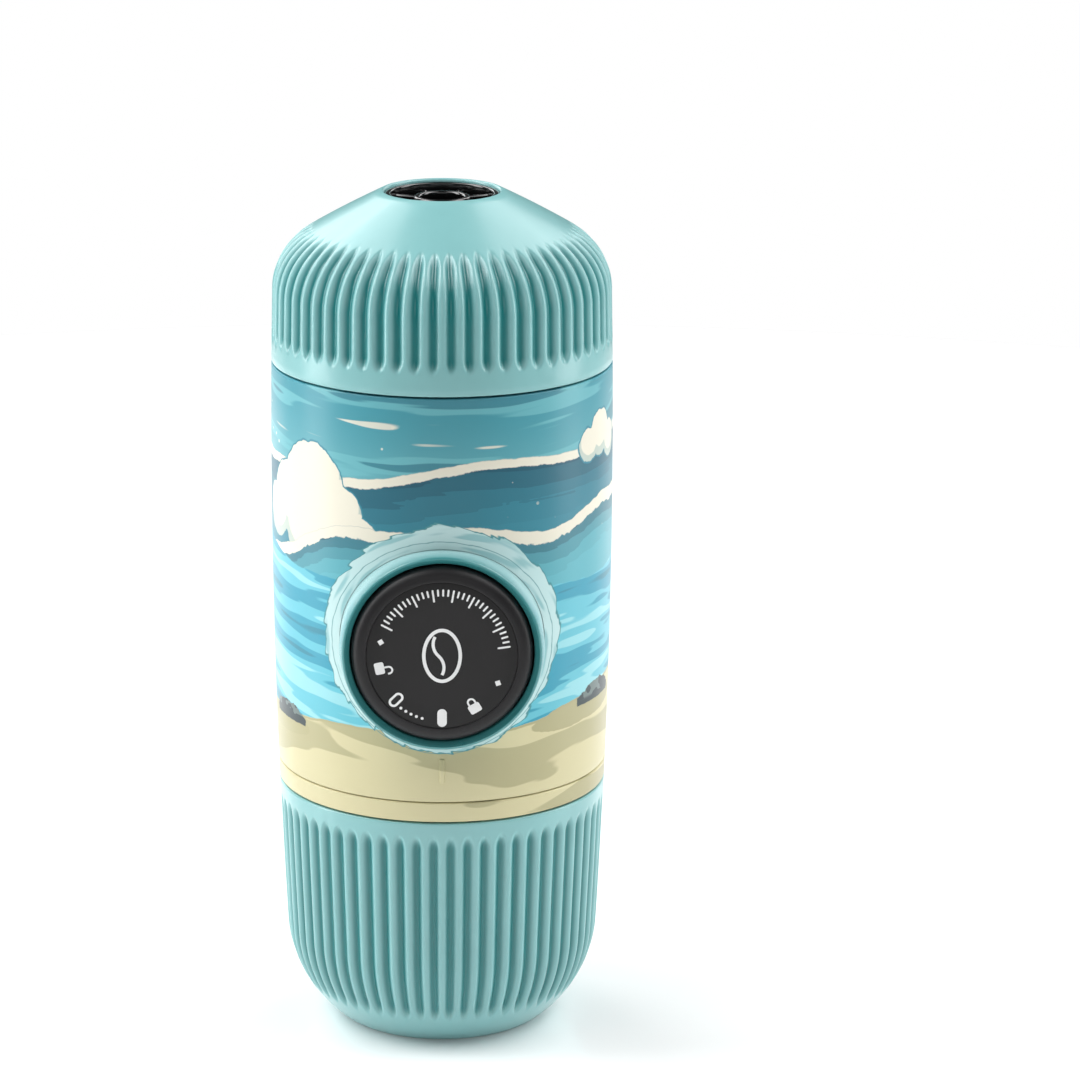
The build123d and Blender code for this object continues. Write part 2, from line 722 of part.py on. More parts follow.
def rod_seal():
    """Lip seal behind the guide."""
    low, high = LINER_FRONT + REST, GLAND_BACK - REST
    return on_pump_axis(turned(
        (ROD_R + RUN_FIT, low),
        (ROD_R + SEAL_LIP, low),
        (ROD_R + SEAL_ROOT, low + SEAL_CUP),
        (GLAND_R - 2 * SEAL_SKIN, low + SEAL_CUP),
        (GLAND_R - SEAL_SKIN, low),
        (GLAND_R, low),
        (GLAND_R, high),
        (ROD_R + RUN_FIT, high),
    ))


def plunger_rod():
    """Rod, piston with its groove, and the stub that the knob turns on."""
    groove_r = PISTON_R - PISTON_GROOVE_DEPTH
    groove_low = PISTON_BACK + (PISTON_L - PISTON_GROOVE_T) / 2
    groove_high = groove_low + PISTON_GROOVE_T
    body = turned(
        (0, PISTON_BACK),
        (PISTON_R, PISTON_BACK),
        (PISTON_R, groove_low),
        (groove_r, groove_low),
        (groove_r, groove_high),
        (PISTON_R, groove_high),
        (PISTON_R, PISTON_BACK + PISTON_L),
        (ROD_R, PISTON_BACK + PISTON_L),
        (ROD_R, HUB_BACK),
        (STUB_R, HUB_BACK),
        (STUB_R, HUB_BACK + STUB_L),
        (0, HUB_BACK + STUB_L),
    )
    thread = disc(SCREW_R + SEAT, HUB_BACK + STUB_L - SCREW_L - 1, HUB_BACK + STUB_L + 1)
    return on_pump_axis(body - thread)


def piston_seal():
    circle_r = PISTON_R - PISTON_RING_WIRE
    return on_pump_axis(Pos(0, 0, PISTON_BACK + PISTON_L / 2) * Torus(circle_r, PISTON_RING_WIRE))


def return_spring():
    low = CUP_FLOOR_OUT + GUIDE_FLANGE + SLIP
    high = KNOB_FACE - KNOB_FRONT_T - SLIP
    return on_pump_axis(coil(RETURN_COIL_R, RETURN_WIRE_R, low, high, RETURN_TURNS))


# ---------------------------------------------------------------- knob
RECESS_OUT = KNOB_FACE - DIAL_DEPTH - DIAL_T - SEAT    # floor of the dial's recess
HEAD_SEAT_OUT = RECESS_OUT - SCREW_HEAD_T - 2 * SEAT   # face that the screw's head bears on
STUB_L = HEAD_SEAT_OUT - REST - HUB_BACK


def piston_knob():
    """Hollow cap with a rounded rim, a recess for the dial, a hub for the rod and three lugs."""
    inner_r = KNOB_R - KNOB_WALL
    front = KNOB_FACE - KNOB_FRONT_T
    corner = (KNOB_R - KNOB_ROUND, KNOB_FACE - KNOB_ROUND)
    edge = round_of(corner, KNOB_ROUND, 0, 90)
    recess_r = DIAL_R + SEAT
    lip = round_of((recess_r + DIAL_LIP_R, KNOB_FACE - DIAL_LIP_R), DIAL_LIP_R, 90, 180)
    cap = lathe(
        edge,
        Line(edge @ 1, lip @ 0),
        lip,
        Polyline(
            lip @ 1,
            (recess_r, RECESS_OUT),
            (SCREW_HEAD_R + SEAT, RECESS_OUT),
            (SCREW_HEAD_R + SEAT, HEAD_SEAT_OUT),
            (STUB_R + RUN_FIT, HEAD_SEAT_OUT),
            (STUB_R + RUN_FIT, HUB_BACK + SEAT),
            (HUB_R, HUB_BACK + SEAT),
            (HUB_R, front),
            (inner_r, front),
            (inner_r, KNOB_BACK),
            (KNOB_R, KNOB_BACK),
            edge @ 0,
        ),
    )
    root_r = KNOB_R - KNOB_WALL / 2
    for i in range(LUGS):
        start = 90 - LUG_ARC / 2 + i * 360 / LUGS
        cap = cap + ring_sector(root_r, LUG_TIP_R, KNOB_BACK, KNOB_BACK + LUG_L, start, LUG_ARC)
    return on_pump_axis(cap)


def dial_disc():
    back = RECESS_OUT + SEAT
    body = disc(DIAL_R, back, back + DIAL_T)
    face = body.edges().group_by(Axis.Z)[-1]
    return on_pump_axis(chamfer(face, DIAL_EDGE))


def knob_screw():
    low = HEAD_SEAT_OUT + SEAT
    head = disc(SCREW_HEAD_R, low, low + SCREW_HEAD_T)
    shank = disc(SCREW_R, low - SCREW_L, low)
    slot = Box(SCREW_SLOT_L, SCREW_SLOT_W, SCREW_HEAD_T)
    cross = Pos(0, 0, low + SCREW_HEAD_T) * (slot + Rot(0, 0, 90) * slot)
    return on_pump_axis(head + shank - cross)


# ---------------------------------------------------------------- brewing parts
def shower_screen():
    plate = disc(BREW_BORE_R - SLIP, SCREEN_Z, SCREEN_Z + SCREEN_T)
    return plate - sieve_holes(SCREEN_Z - 1, SCREEN_Z + SCREEN_T + 1)


def brew_gasket():
    return ring(BREW_GASKET_IN, BREW_BORE_R - SEAT, BREW_GASKET_Z, BREW_GASKET_Z + BREW_GASKET_T)


def filter_basket():
    """Pressed steel cup, mouth down, with a flange round its mouth and holes in its floor."""
    inner_r = BASKET_R - STEEL_T
    inner_top = BASKET_TOP - STEEL_T
    bend = (BASKET_R - BASKET_BEND, BASKET_TOP - BASKET_BEND)
    outer_bend = round_of(bend, BASKET_BEND, 0, 90)
    inner_bend = round_of(bend, BASKET_BEND - STEEL_T, 0, 90)
    body = lathe(
        Polyline((inner_r, BASKET_Z), (FLANGE_R, BASKET_Z), (FLANGE_R, BASKET_Z + STEEL_T),
                 (BASKET_R, BASKET_Z + STEEL_T), outer_bend @ 0),
        outer_bend,
        Polyline(outer_bend @ 1, (0, BASKET_TOP), (0, inner_top), inner_bend @ 1),
        inner_bend,
        Line(inner_bend @ 0, (inner_r, BASKET_Z)),
    )
    return body - sieve_holes(BASKET_TOP - 1, BASKET_TOP + 1)


def scoop():
    """Measuring scoop that doubles as the tamper: a cup, mouth down, nested in the basket."""
    top_r = SCOOP_R - SCOOP_DRAFT
    return turned(
        (0, SCOOP_TOP),
        (top_r - SCOOP_EDGE, SCOOP_TOP),
        (top_r, SCOOP_TOP - SCOOP_EDGE),
        (SCOOP_R, SCOOP_Z),
        (SCOOP_R - SCOOP_WALL, SCOOP_Z),
        (top_r - SCOOP_WALL, SCOOP_TOP - SCOOP_FLOOR),
        (0, SCOOP_TOP - SCOOP_FLOOR),
    )


def basket_gasket():
    return ring(BASKET_R + SLIP, FLANGE_R - SEAT, TOP_GASKET_Z, TOP_GASKET_Z + GASKET_T)


# ---------------------------------------------------------------- outlet head
def portafilter():
    """Threaded collar, basket holder with radial fins, and a roof that funnels coffee to the spout."""
    collar_out = barrel_point(COLLAR_TOP, FLUTED_WALL + SEAT)[0]
    outer_r = HOLDER_R + HOLDER_WALL
    body = turned(
        (COLLAR_IN, DOME_Z + SLIP),
        (collar_out, DOME_Z + SLIP),
        (collar_out, COLLAR_TOP),
        (outer_r, COLLAR_TOP + COLLAR_SLOPE),
        (outer_r, ROOF_Z - HOLDER_BEVEL),
        (outer_r - HOLDER_BEVEL, ROOF_Z),
        (NOZZLE_R + SEAT, ROOF_Z),
        (NOZZLE_R + SEAT, HOLDER_TOP + FUNNEL_DROP),
        (HOLDER_R - HOLDER_BEVEL, HOLDER_TOP),
        (HOLDER_R, HOLDER_TOP),
        (HOLDER_R, HOLDER_STEP_Z),
        (STEP_R, HOLDER_STEP_Z),
        (STEP_R, COLLAR_STEP_Z),
        (COLLAR_IN, COLLAR_STEP_Z),
    )
    fin_out = barrel_point(FIN_TOP, FLUTED_WALL + SLIP)[0]
    reach = fin_out - outer_r + ROOT
    fin = Pos(fin_out - reach / 2, 0, (COLLAR_TOP + FIN_TOP) / 2) * Box(reach, FIN_T, FIN_TOP - COLLAR_TOP)
    for piece in around(FINS, fin):
        body = body + piece
    return body


def spout():
    """Nozzle screwed through the holder's roof."""
    foot = HOLDER_TOP + FUNNEL_DROP
    return turned(
        (NOZZLE_BORE_R, foot),
        (NOZZLE_R, foot),
        (NOZZLE_R, NOZZLE_TOP - NOZZLE_TIP),
        (NOZZLE_BORE_R + NOZZLE_LIP, NOZZLE_TOP),
        (NOZZLE_BORE_R, NOZZLE_TOP),
    )


def spout_insert():
    """Bowl in the outlet window, with a ring and radial vanes round the nozzle."""
    floor = BOWL_Z + BOWL_FLOOR_T
    bowl = turned(
        (NOZZLE_R + SEAT, BOWL_Z),
        (BOWL_FLOOR_R + BOWL_WALL, BOWL_Z),
        (BOWL_R, BOWL_TOP - BOWL_STRAIGHT),
        (BOWL_R, BOWL_TOP),
        (BOWL_R - BOWL_WALL, BOWL_TOP),
        (BOWL_FLOOR_R, floor),
        (NOZZLE_R + SEAT, floor),
    )
    circles = bowl.edges().filter_by(GeomType.CIRCLE)
    bowl = fillet(circles.group_by(Axis.Z)[-1], BOWL_RIM_ROUND)
    circles = bowl.edges().filter_by(GeomType.CIRCLE)
    foot = circles.filter_by(lambda edge: abs(edge.radius - BOWL_FLOOR_R) < SEAT)
    bowl = fillet(foot, BOWL_FLOOR_ROUND)
    vane_top = floor + VANE_H
    inner, outer = VANE_RING_R, BOWL_FLOOR_R + ROOT
    bowl = bowl + ring(inner - VANE_RING_T / 2, inner + VANE_RING_T / 2, floor - ROOT, vane_top)
    height = VANE_H + ROOT
    vane = Pos((inner + outer) / 2, 0, vane_top - height / 2) * Box(outer - inner, VANE_T, height)
    for piece in around(VANES, vane, 180 / VANES):
        bowl = bowl + piece
    return bowl


def head_shell():
    """Fluted dome with a round window; its outline is barrel wall, shoulder round and crown arc."""
    centre, lean = corner_of(SHOULDER_Z, SHOULDER_R)
    inner_r = SHOULDER_R - FLUTED_WALL
    outside = round_of(centre, SHOULDER_R, lean, SHOULDER_END)
    inside = round_of(centre, inner_r, lean, SHOULDER_END)
    wall_out = barrel_arc(DOME_Z, (outside @ 0).Y)
    wall_in = barrel_arc(DOME_Z, (inside @ 0).Y, FLUTED_WALL)
    lip = round_of((WINDOW_R + LIP_R, HEIGHT - LIP_R), LIP_R, 90, 180)
    crown = TangentArc(outside @ 1, lip @ 0, tangent=outside % 1)
    under = (WINDOW_R, HEIGHT - CROWN_T)
    body = lathe(
        wall_out,
        outside,
        crown,
        lip,
        Polyline(lip @ 1, under, inside @ 1),
        inside,
        wall_in,
        Line(wall_in @ 0, wall_out @ 0),
    )
    cutter = flute(centre, lean, SHOULDER_R, DOME_FLUTE_FOOT, DOME_FLUTE_TURN, 1)
    return fluted(body, cutter)


PARTS = {
    "cup": cup,
    "water_tank": tank,
    "vent_valve": vent_valve,
    "neck_ring": neck_ring,
    "tank_gasket": tank_gasket,
    "lower_band": lower_band,
    "body_shell": body_shell,
    "boss_ring": boss_ring,
    "neck_socket": neck_socket,
    "pump_housing": pump_housing,
    "pump_cylinder": pump_cylinder,
    "cylinder_end_cap": cylinder_end_cap,
    "end_cap_o_ring": end_cap_o_ring,
    "rod_guide": rod_guide,
    "rod_seal": rod_seal,
    "plunger_rod": plunger_rod,
    "piston_seal": piston_seal,
    "return_spring": return_spring,
    "piston_knob": piston_knob,
    "dial_disc": dial_disc,
    "knob_screw": knob_screw,
    "inlet_strainer": inlet_strainer,
    "inlet_valve_seat": inlet_valve_seat,
    "inlet_valve_ball": inlet_valve_ball,
    "inlet_valve_spring": inlet_valve_spring,
    "outlet_valve_seat": outlet_valve_seat,
    "outlet_valve_ball": outlet_valve_ball,
    "outlet_valve_spring": outlet_valve_spring,
    "outlet_valve_cap": outlet_valve_cap,
    "shower_screen": shower_screen,
    "brew_gasket": brew_gasket,
    "filter_basket": filter_basket,
    "scoop": scoop,
    "basket_gasket": basket_gasket,
    "portafilter": portafilter,
    "spout": spout,
    "spout_insert": spout_insert,
    "head_shell": head_shell,
}

os.makedirs("parts", exist_ok=True)
for name, make in PARTS.items():
    export_step(make(), f"parts/{name}.step")
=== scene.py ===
"""Dressed model of a handheld manual espresso maker.

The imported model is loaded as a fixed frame. The fluted cup and dome, the printed sleeve and band, the
knob with its dial and ring, the bowl in the outlet window and the springs over the valve balls are
modelled here with Blender's own tools. The other pieces keep their solids and get a finish each.
Lengths in the classes are millimetres, and angles are degrees.
"""

import json
import logging
import math
from dataclasses import dataclass, field
from enum import Enum
from functools import reduce
from typing import Iterable, Optional, Sequence, Union

import bpy
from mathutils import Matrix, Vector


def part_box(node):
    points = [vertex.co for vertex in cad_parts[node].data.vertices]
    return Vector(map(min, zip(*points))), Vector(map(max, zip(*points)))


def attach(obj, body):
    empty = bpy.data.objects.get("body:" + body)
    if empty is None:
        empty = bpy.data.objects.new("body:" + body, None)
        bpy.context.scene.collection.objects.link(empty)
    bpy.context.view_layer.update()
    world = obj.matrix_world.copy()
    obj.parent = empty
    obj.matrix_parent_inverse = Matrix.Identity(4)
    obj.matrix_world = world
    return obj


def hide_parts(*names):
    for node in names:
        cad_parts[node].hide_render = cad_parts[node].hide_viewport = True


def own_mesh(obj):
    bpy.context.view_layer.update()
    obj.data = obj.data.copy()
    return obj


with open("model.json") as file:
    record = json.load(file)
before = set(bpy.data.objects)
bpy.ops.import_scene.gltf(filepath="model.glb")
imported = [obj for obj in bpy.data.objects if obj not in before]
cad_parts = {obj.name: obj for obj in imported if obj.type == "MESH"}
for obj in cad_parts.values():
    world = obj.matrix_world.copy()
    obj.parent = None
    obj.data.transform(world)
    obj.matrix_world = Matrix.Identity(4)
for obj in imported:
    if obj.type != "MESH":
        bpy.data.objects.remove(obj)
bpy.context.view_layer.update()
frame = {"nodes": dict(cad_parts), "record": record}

LOG = logging.getLogger("espresso_maker")
MM = 0.001
PUMP_Z = 79.3            # height of the pump's axis
MERGE = 0.002            # points nearer than this are one point
LUGS = 3                 # lugs on the knob, and slots for them in its ring

Point = tuple[float, float]
Place = tuple[float, float, float]
Colour = tuple[float, float, float]


def srgb(red: int, green: int, blue: int) -> Colour:
    """Linear colour of a screen colour.

    Args:
        red, green, blue: the screen colour's parts, 0 to 255.

    Returns:
        The colour as linear light.
    """
    def linear(part: int) -> float:
        """Linear value of one part."""
        share = part / 255
        return share / 12.92 if share <= 0.04045 else ((share + 0.055) / 1.055) ** 2.4
    return (linear(red), linear(green), linear(blue))


# ---------------------------------------------------------------- sections
class Axle(Enum):
    """Axis that a section is turned about."""

    UPRIGHT = "upright"
    PUMP = "pump"

    @property
    def centre(self) -> Place:
        """A point of the axis, in metres."""
        return (0.0, 0.0, 0.0) if self is Axle.UPRIGHT else (0.0, 0.0, PUMP_Z * MM)

    @property
    def direction(self) -> Place:
        """The axis's direction, from the body outwards."""
        return (0.0, 0.0, 1.0) if self is Axle.UPRIGHT else (0.0, -1.0, 0.0)

    def place(self, radius: float, along: float) -> Place:
        """Point of the drawing plane, in metres.

        Args:
            radius: distance from the axis.
            along: distance along the axis.

        Returns:
            The point's place.
        """
        if self is Axle.UPRIGHT:
            return (0.0, -radius * MM, along * MM)
        return (radius * MM, -along * MM, PUMP_Z * MM)


@dataclass
class Outline:
    """Section of a turned piece, as points of radius and distance along the axis."""

    points: list[Point] = field(default_factory=list)

    def start(self, radius: float, along: float) -> "Outline":
        """Puts down the first point and returns the outline."""
        self.points.append((radius, along))
        return self

    def line(self, radius: float, along: float, parts: int = 1) -> "Outline":
        """Adds a straight run.

        Args:
            radius, along: the run's end.
            parts: number of equal pieces it is divided into.

        Returns:
            The outline.
        """
        first = self.points[-1]
        for i in range(1, parts + 1):
            share = i / parts
            self.points.append((
                first[0] + (radius - first[0]) * share,
                first[1] + (along - first[1]) * share,
            ))
        return self

    def arc(self, centre: Point, radius: float, begin: float, end: float, parts: int) -> "Outline":
        """Adds an arc, and a run to its start where the outline isn't there yet.

        Args:
            centre: the arc's centre.
            radius: the arc's radius.
            begin, end: angles in degrees.
            parts: number of equal pieces it is divided into.

        Returns:
            The outline.
        """
        for i in range(parts + 1):
            angle = math.radians(begin + (end - begin) * i / parts)
            spot = (centre[0] + radius * math.cos(angle), centre[1] + radius * math.sin(angle))
            if self.points and math.dist(spot, self.points[-1]) < MERGE:
                continue
            self.points.append(spot)
        return self

    def reach(self) -> list[float]:
        """Measures along the outline.

        Returns:
            The length up to each point.
        """
        lengths = [0.0]
        for first, second in zip(self.points, self.points[1:]):
            lengths.append(lengths[-1] + math.dist(first, second))
        return lengths


@dataclass(frozen=True)
class Barrel:
    """The long barrel-shaped arc that all side walls share."""

    belly_r: float = 31.1
    belly_z: float = 102.0
    bow_r: float = 1600.0

    def radius(self, height: float, inset: float = 0.0) -> float:
        """Wall's radius at a height, inset from the outer surface."""
        rise = height - self.belly_z
        return self.belly_r - self.bow_r + math.sqrt((self.bow_r - inset) ** 2 - rise**2)

    def run(self, outline: Outline, end: float, parts: int, inset: float = 0.0) -> Outline:
        """Follows the wall from the outline's last height.

        Args:
            outline: the outline that is drawn on.
            end: height where the run ends.
            parts: number of equal pieces.
            inset: distance inside the outer surface.

        Returns:
            The outline.
        """
        begin = outline.points[-1][1]
        for i in range(1, parts + 1):
            height = begin + (end - begin) * i / parts
            outline.line(self.radius(height, inset), height)
        return outline

    def corner(self, height: float, round_r: float) -> tuple[Point, float]:
        """Round that leaves the wall at a height.

        Args:
            height: where the wall meets the round.
            round_r: radius of the round.

        Returns:
            The round's centre, and the wall's lean there in degrees.
        """
        lean = math.asin((height - self.belly_z) / self.bow_r)
        span = self.bow_r - round_r
        centre = (
            self.belly_r - self.bow_r + span * math.cos(lean),
            self.belly_z + span * math.sin(lean),
        )
        return centre, math.degrees(lean)


BARREL = Barrel()


# ---------------------------------------------------------------- bench
class Bench:
    """The modelling bench: Blender's own tools in small, named steps."""

    @staticmethod
    def clear() -> None:
        """Leaves edit mode and selects nothing."""
        if bpy.context.mode != "OBJECT":
            bpy.ops.object.mode_set(mode="OBJECT")
        bpy.ops.object.select_all(action="DESELECT")

    @staticmethod
    def take(piece: bpy.types.Object) -> None:
        """Makes a piece the only selected and active one.

        Args:
            piece: the piece.
        """
        Bench.clear()
        piece.select_set(True)
        bpy.context.view_layer.objects.active = piece

    @staticmethod
    def edit(piece: bpy.types.Object, mode: str = "VERT") -> None:
        """Opens a piece in edit mode with everything selected.

        Args:
            piece: the piece.
            mode: VERT, EDGE or FACE.
        """
        Bench.take(piece)
        bpy.ops.object.mode_set(mode="EDIT")
        bpy.ops.mesh.select_mode(type=mode)
        bpy.ops.mesh.select_all(action="SELECT")

    @staticmethod
    def named(name: str) -> bpy.types.Object:
        """Names the active piece and its mesh.

        Args:
            name: the name.

        Returns:
            The piece.
        """
        piece = bpy.context.object
        piece.name = name
        piece.data.name = name
        return piece

    @staticmethod
    def chain(name: str, places: Sequence[Place]) -> bpy.types.Object:
        """Draws an open chain of edges, one extruded point after the other.

        Args:
            name: the new piece's name.
            places: the chain's points, in metres.

        Returns:
            The piece, in edit mode.
        """
        Bench.clear()
        bpy.ops.mesh.primitive_plane_add(size=MM)
        piece = Bench.named(name)
        Bench.edit(piece)
        bpy.ops.mesh.merge(type="CENTER")
        bpy.ops.transform.translate(value=places[0])
        for first, second in zip(places, places[1:]):
            step = tuple(b - a for a, b in zip(first, second))
            bpy.ops.mesh.extrude_vertices_move(TRANSFORM_OT_translate={"value": step})
        return piece

    @staticmethod
    def spin(degrees: float, steps: int, centre: Place, axis: Place, copies: bool = False) -> None:
        """Spins what is selected in the open piece, anticlockwise as seen from the axis's end.

        Args:
            degrees: the angle.
            steps: number of steps.
            centre: a point of the axis, in metres.
            axis: the axis's direction.
            copies: whether separate copies are made instead of a surface.
        """
        turn = -math.radians(degrees)
        bpy.ops.mesh.spin(steps=steps, dupli=copies, angle=turn, center=centre, axis=axis)

    @staticmethod
    def sweep(axle: Axle, degrees: float, steps: int) -> None:
        """Spins all that is drawn in the open piece about an axle.

        Args:
            axle: the axis.
            degrees: the angle.
            steps: number of columns.
        """
        bpy.ops.mesh.select_all(action="SELECT")
        Bench.spin(degrees, steps, axle.centre, axle.direction)
        Bench.weld()

    @staticmethod
    def repeat(piece: bpy.types.Object, count: int) -> None:
        """Copies a piece evenly round the upright axis, all as one mesh.

        Args:
            piece: the piece.
            count: how many there are in the end.
        """
        Bench.edit(piece)
        Bench.spin(360 - 360 / count, count - 1, Axle.UPRIGHT.centre, Axle.UPRIGHT.direction, copies=True)
        Bench.weld()
        Bench.clear()

    @staticmethod
    def weld() -> None:
        """Merges doubled points in the open piece and turns all faces outwards."""
        bpy.ops.mesh.select_all(action="SELECT")
        bpy.ops.mesh.remove_doubles(threshold=MERGE * MM)
        bpy.ops.mesh.normals_make_consistent(inside=False)

    @staticmethod
    def turned(name: str, outline: Outline, axle: Axle, columns: int,
               close: bool = True) -> bpy.types.Object:
        """Turned piece.

        Args:
            name: the piece's name.
            outline: its section.
            axle: the axis it is turned about.
            columns: number of columns round it.
            close: whether the section's end is joined to its start.

        Returns:
            The piece, in object mode and shaded smooth.
        """
        points = outline.points + ([outline.points[0]] if close else [])
        piece = Bench.chain(name, [axle.place(*point) for point in points])
        Bench.sweep(axle, 360, columns)
        Bench.smooth(piece)
        return piece

    @staticmethod
    def smooth(piece: bpy.types.Object, limit: float = 38.0) -> None:
        """Shades a piece smooth up to an angle between faces, in degrees."""
        Bench.take(piece)
        bpy.ops.object.shade_smooth_by_angle(angle=math.radians(limit))

    @staticmethod
    def modify(piece: bpy.types.Object, kind: str, **settings: object) -> None:
        """Adds one modifier to a piece and applies it.

        Args:
            piece: the piece.
            kind: the modifier's type.
            settings: values of the modifier.
        """
        Bench.take(piece)
        step = piece.modifiers.new(kind.lower(), kind)
        for key, value in settings.items():
            setattr(step, key, value)
        bpy.ops.object.modifier_apply(modifier=step.name)

    @staticmethod
    def carve(piece: bpy.types.Object, tool: bpy.types.Object) -> None:
        """Cuts a tool's shape out of a piece and deletes the tool.

        Args:
            piece: the piece.
            tool: the closed shape.
        """
        Bench.modify(piece, "BOOLEAN", object=tool, operation="DIFFERENCE", solver="EXACT")
        bpy.data.objects.remove(tool)

    @staticmethod
    def join(piece: bpy.types.Object, others: Iterable[bpy.types.Object]) -> bpy.types.Object:
        """Joins pieces into one.

        Args:
            piece: the first piece, which gives the name.
            others: the other pieces.

        Returns:
            The first piece.
        """
        Bench.take(piece)
        for other in others:
            other.select_set(True)
        bpy.ops.object.join()
        return piece

    @staticmethod
    def settle(piece: bpy.types.Object) -> bpy.types.Object:
        """Applies a piece's place, turn and scale to its mesh.

        Args:
            piece: the piece.

        Returns:
            The same piece.
        """
        Bench.take(piece)
        bpy.ops.object.transform_apply(location=True, rotation=True, scale=True)
        return piece

    @staticmethod
    def block(name: str, centre: Place, sides: Place, round_r: float, segments: int) -> bpy.types.Object:
        """Box with rounded edges.

        Args:
            name: its name.
            centre: its middle, in millimetres.
            sides: its sizes, in millimetres.
            round_r: radius of the edges.
            segments: number of faces across an edge.

        Returns:
            The box.
        """
        Bench.clear()
        bpy.ops.mesh.primitive_cube_add(
            size=1, location=[part * MM for part in centre], scale=[side * MM for side in sides],
        )
        piece = Bench.settle(Bench.named(name))
        Bench.modify(piece, "BEVEL", width=round_r * MM, segments=segments, limit_method="NONE")
        return piece


# ---------------------------------------------------------------- node sheets
Input = Union["Field", float, int]


class Field:
    """A number that varies over a surface, held as the output socket of a node."""

    def __init__(self, sheet: "NodeSheet", socket: bpy.types.NodeSocket) -> None:
        """Keeps the sheet and the socket."""
        self.sheet = sheet
        self.socket = socket

    def __add__(self, other: Input) -> "Field":
        """Sum."""
        return self.sheet.math("ADD", self, other)

    def __sub__(self, other: Input) -> "Field":
        """Difference."""
        return self.sheet.math("SUBTRACT", self, other)

    def __rsub__(self, other: Input) -> "Field":
        """Difference from a number."""
        return self.sheet.math("SUBTRACT", other, self)

    def __mul__(self, other: Input) -> "Field":
        """Product."""
        return self.sheet.math("MULTIPLY", self, other)

    def __truediv__(self, other: Input) -> "Field":
        """Quotient."""
        return self.sheet.math("DIVIDE", self, other)

    def __abs__(self) -> "Field":
        """Size without sign."""
        return self.sheet.math("ABSOLUTE", self)

    def cos(self) -> "Field":
        """Cosine."""
        return self.sheet.math("COSINE", self)

    def root(self) -> "Field":
        """Square root."""
        return self.sheet.math("SQRT", self)

    def least(self, other: Input) -> "Field":
        """The smaller of two numbers."""
        return self.sheet.math("MINIMUM", self, other)

    def rising(self, low: float, high: float) -> "Field":
        """Soft step from 0 at low to 1 at high, or falling where low is the larger."""
        return self.sheet.soft_step(self, low, high)


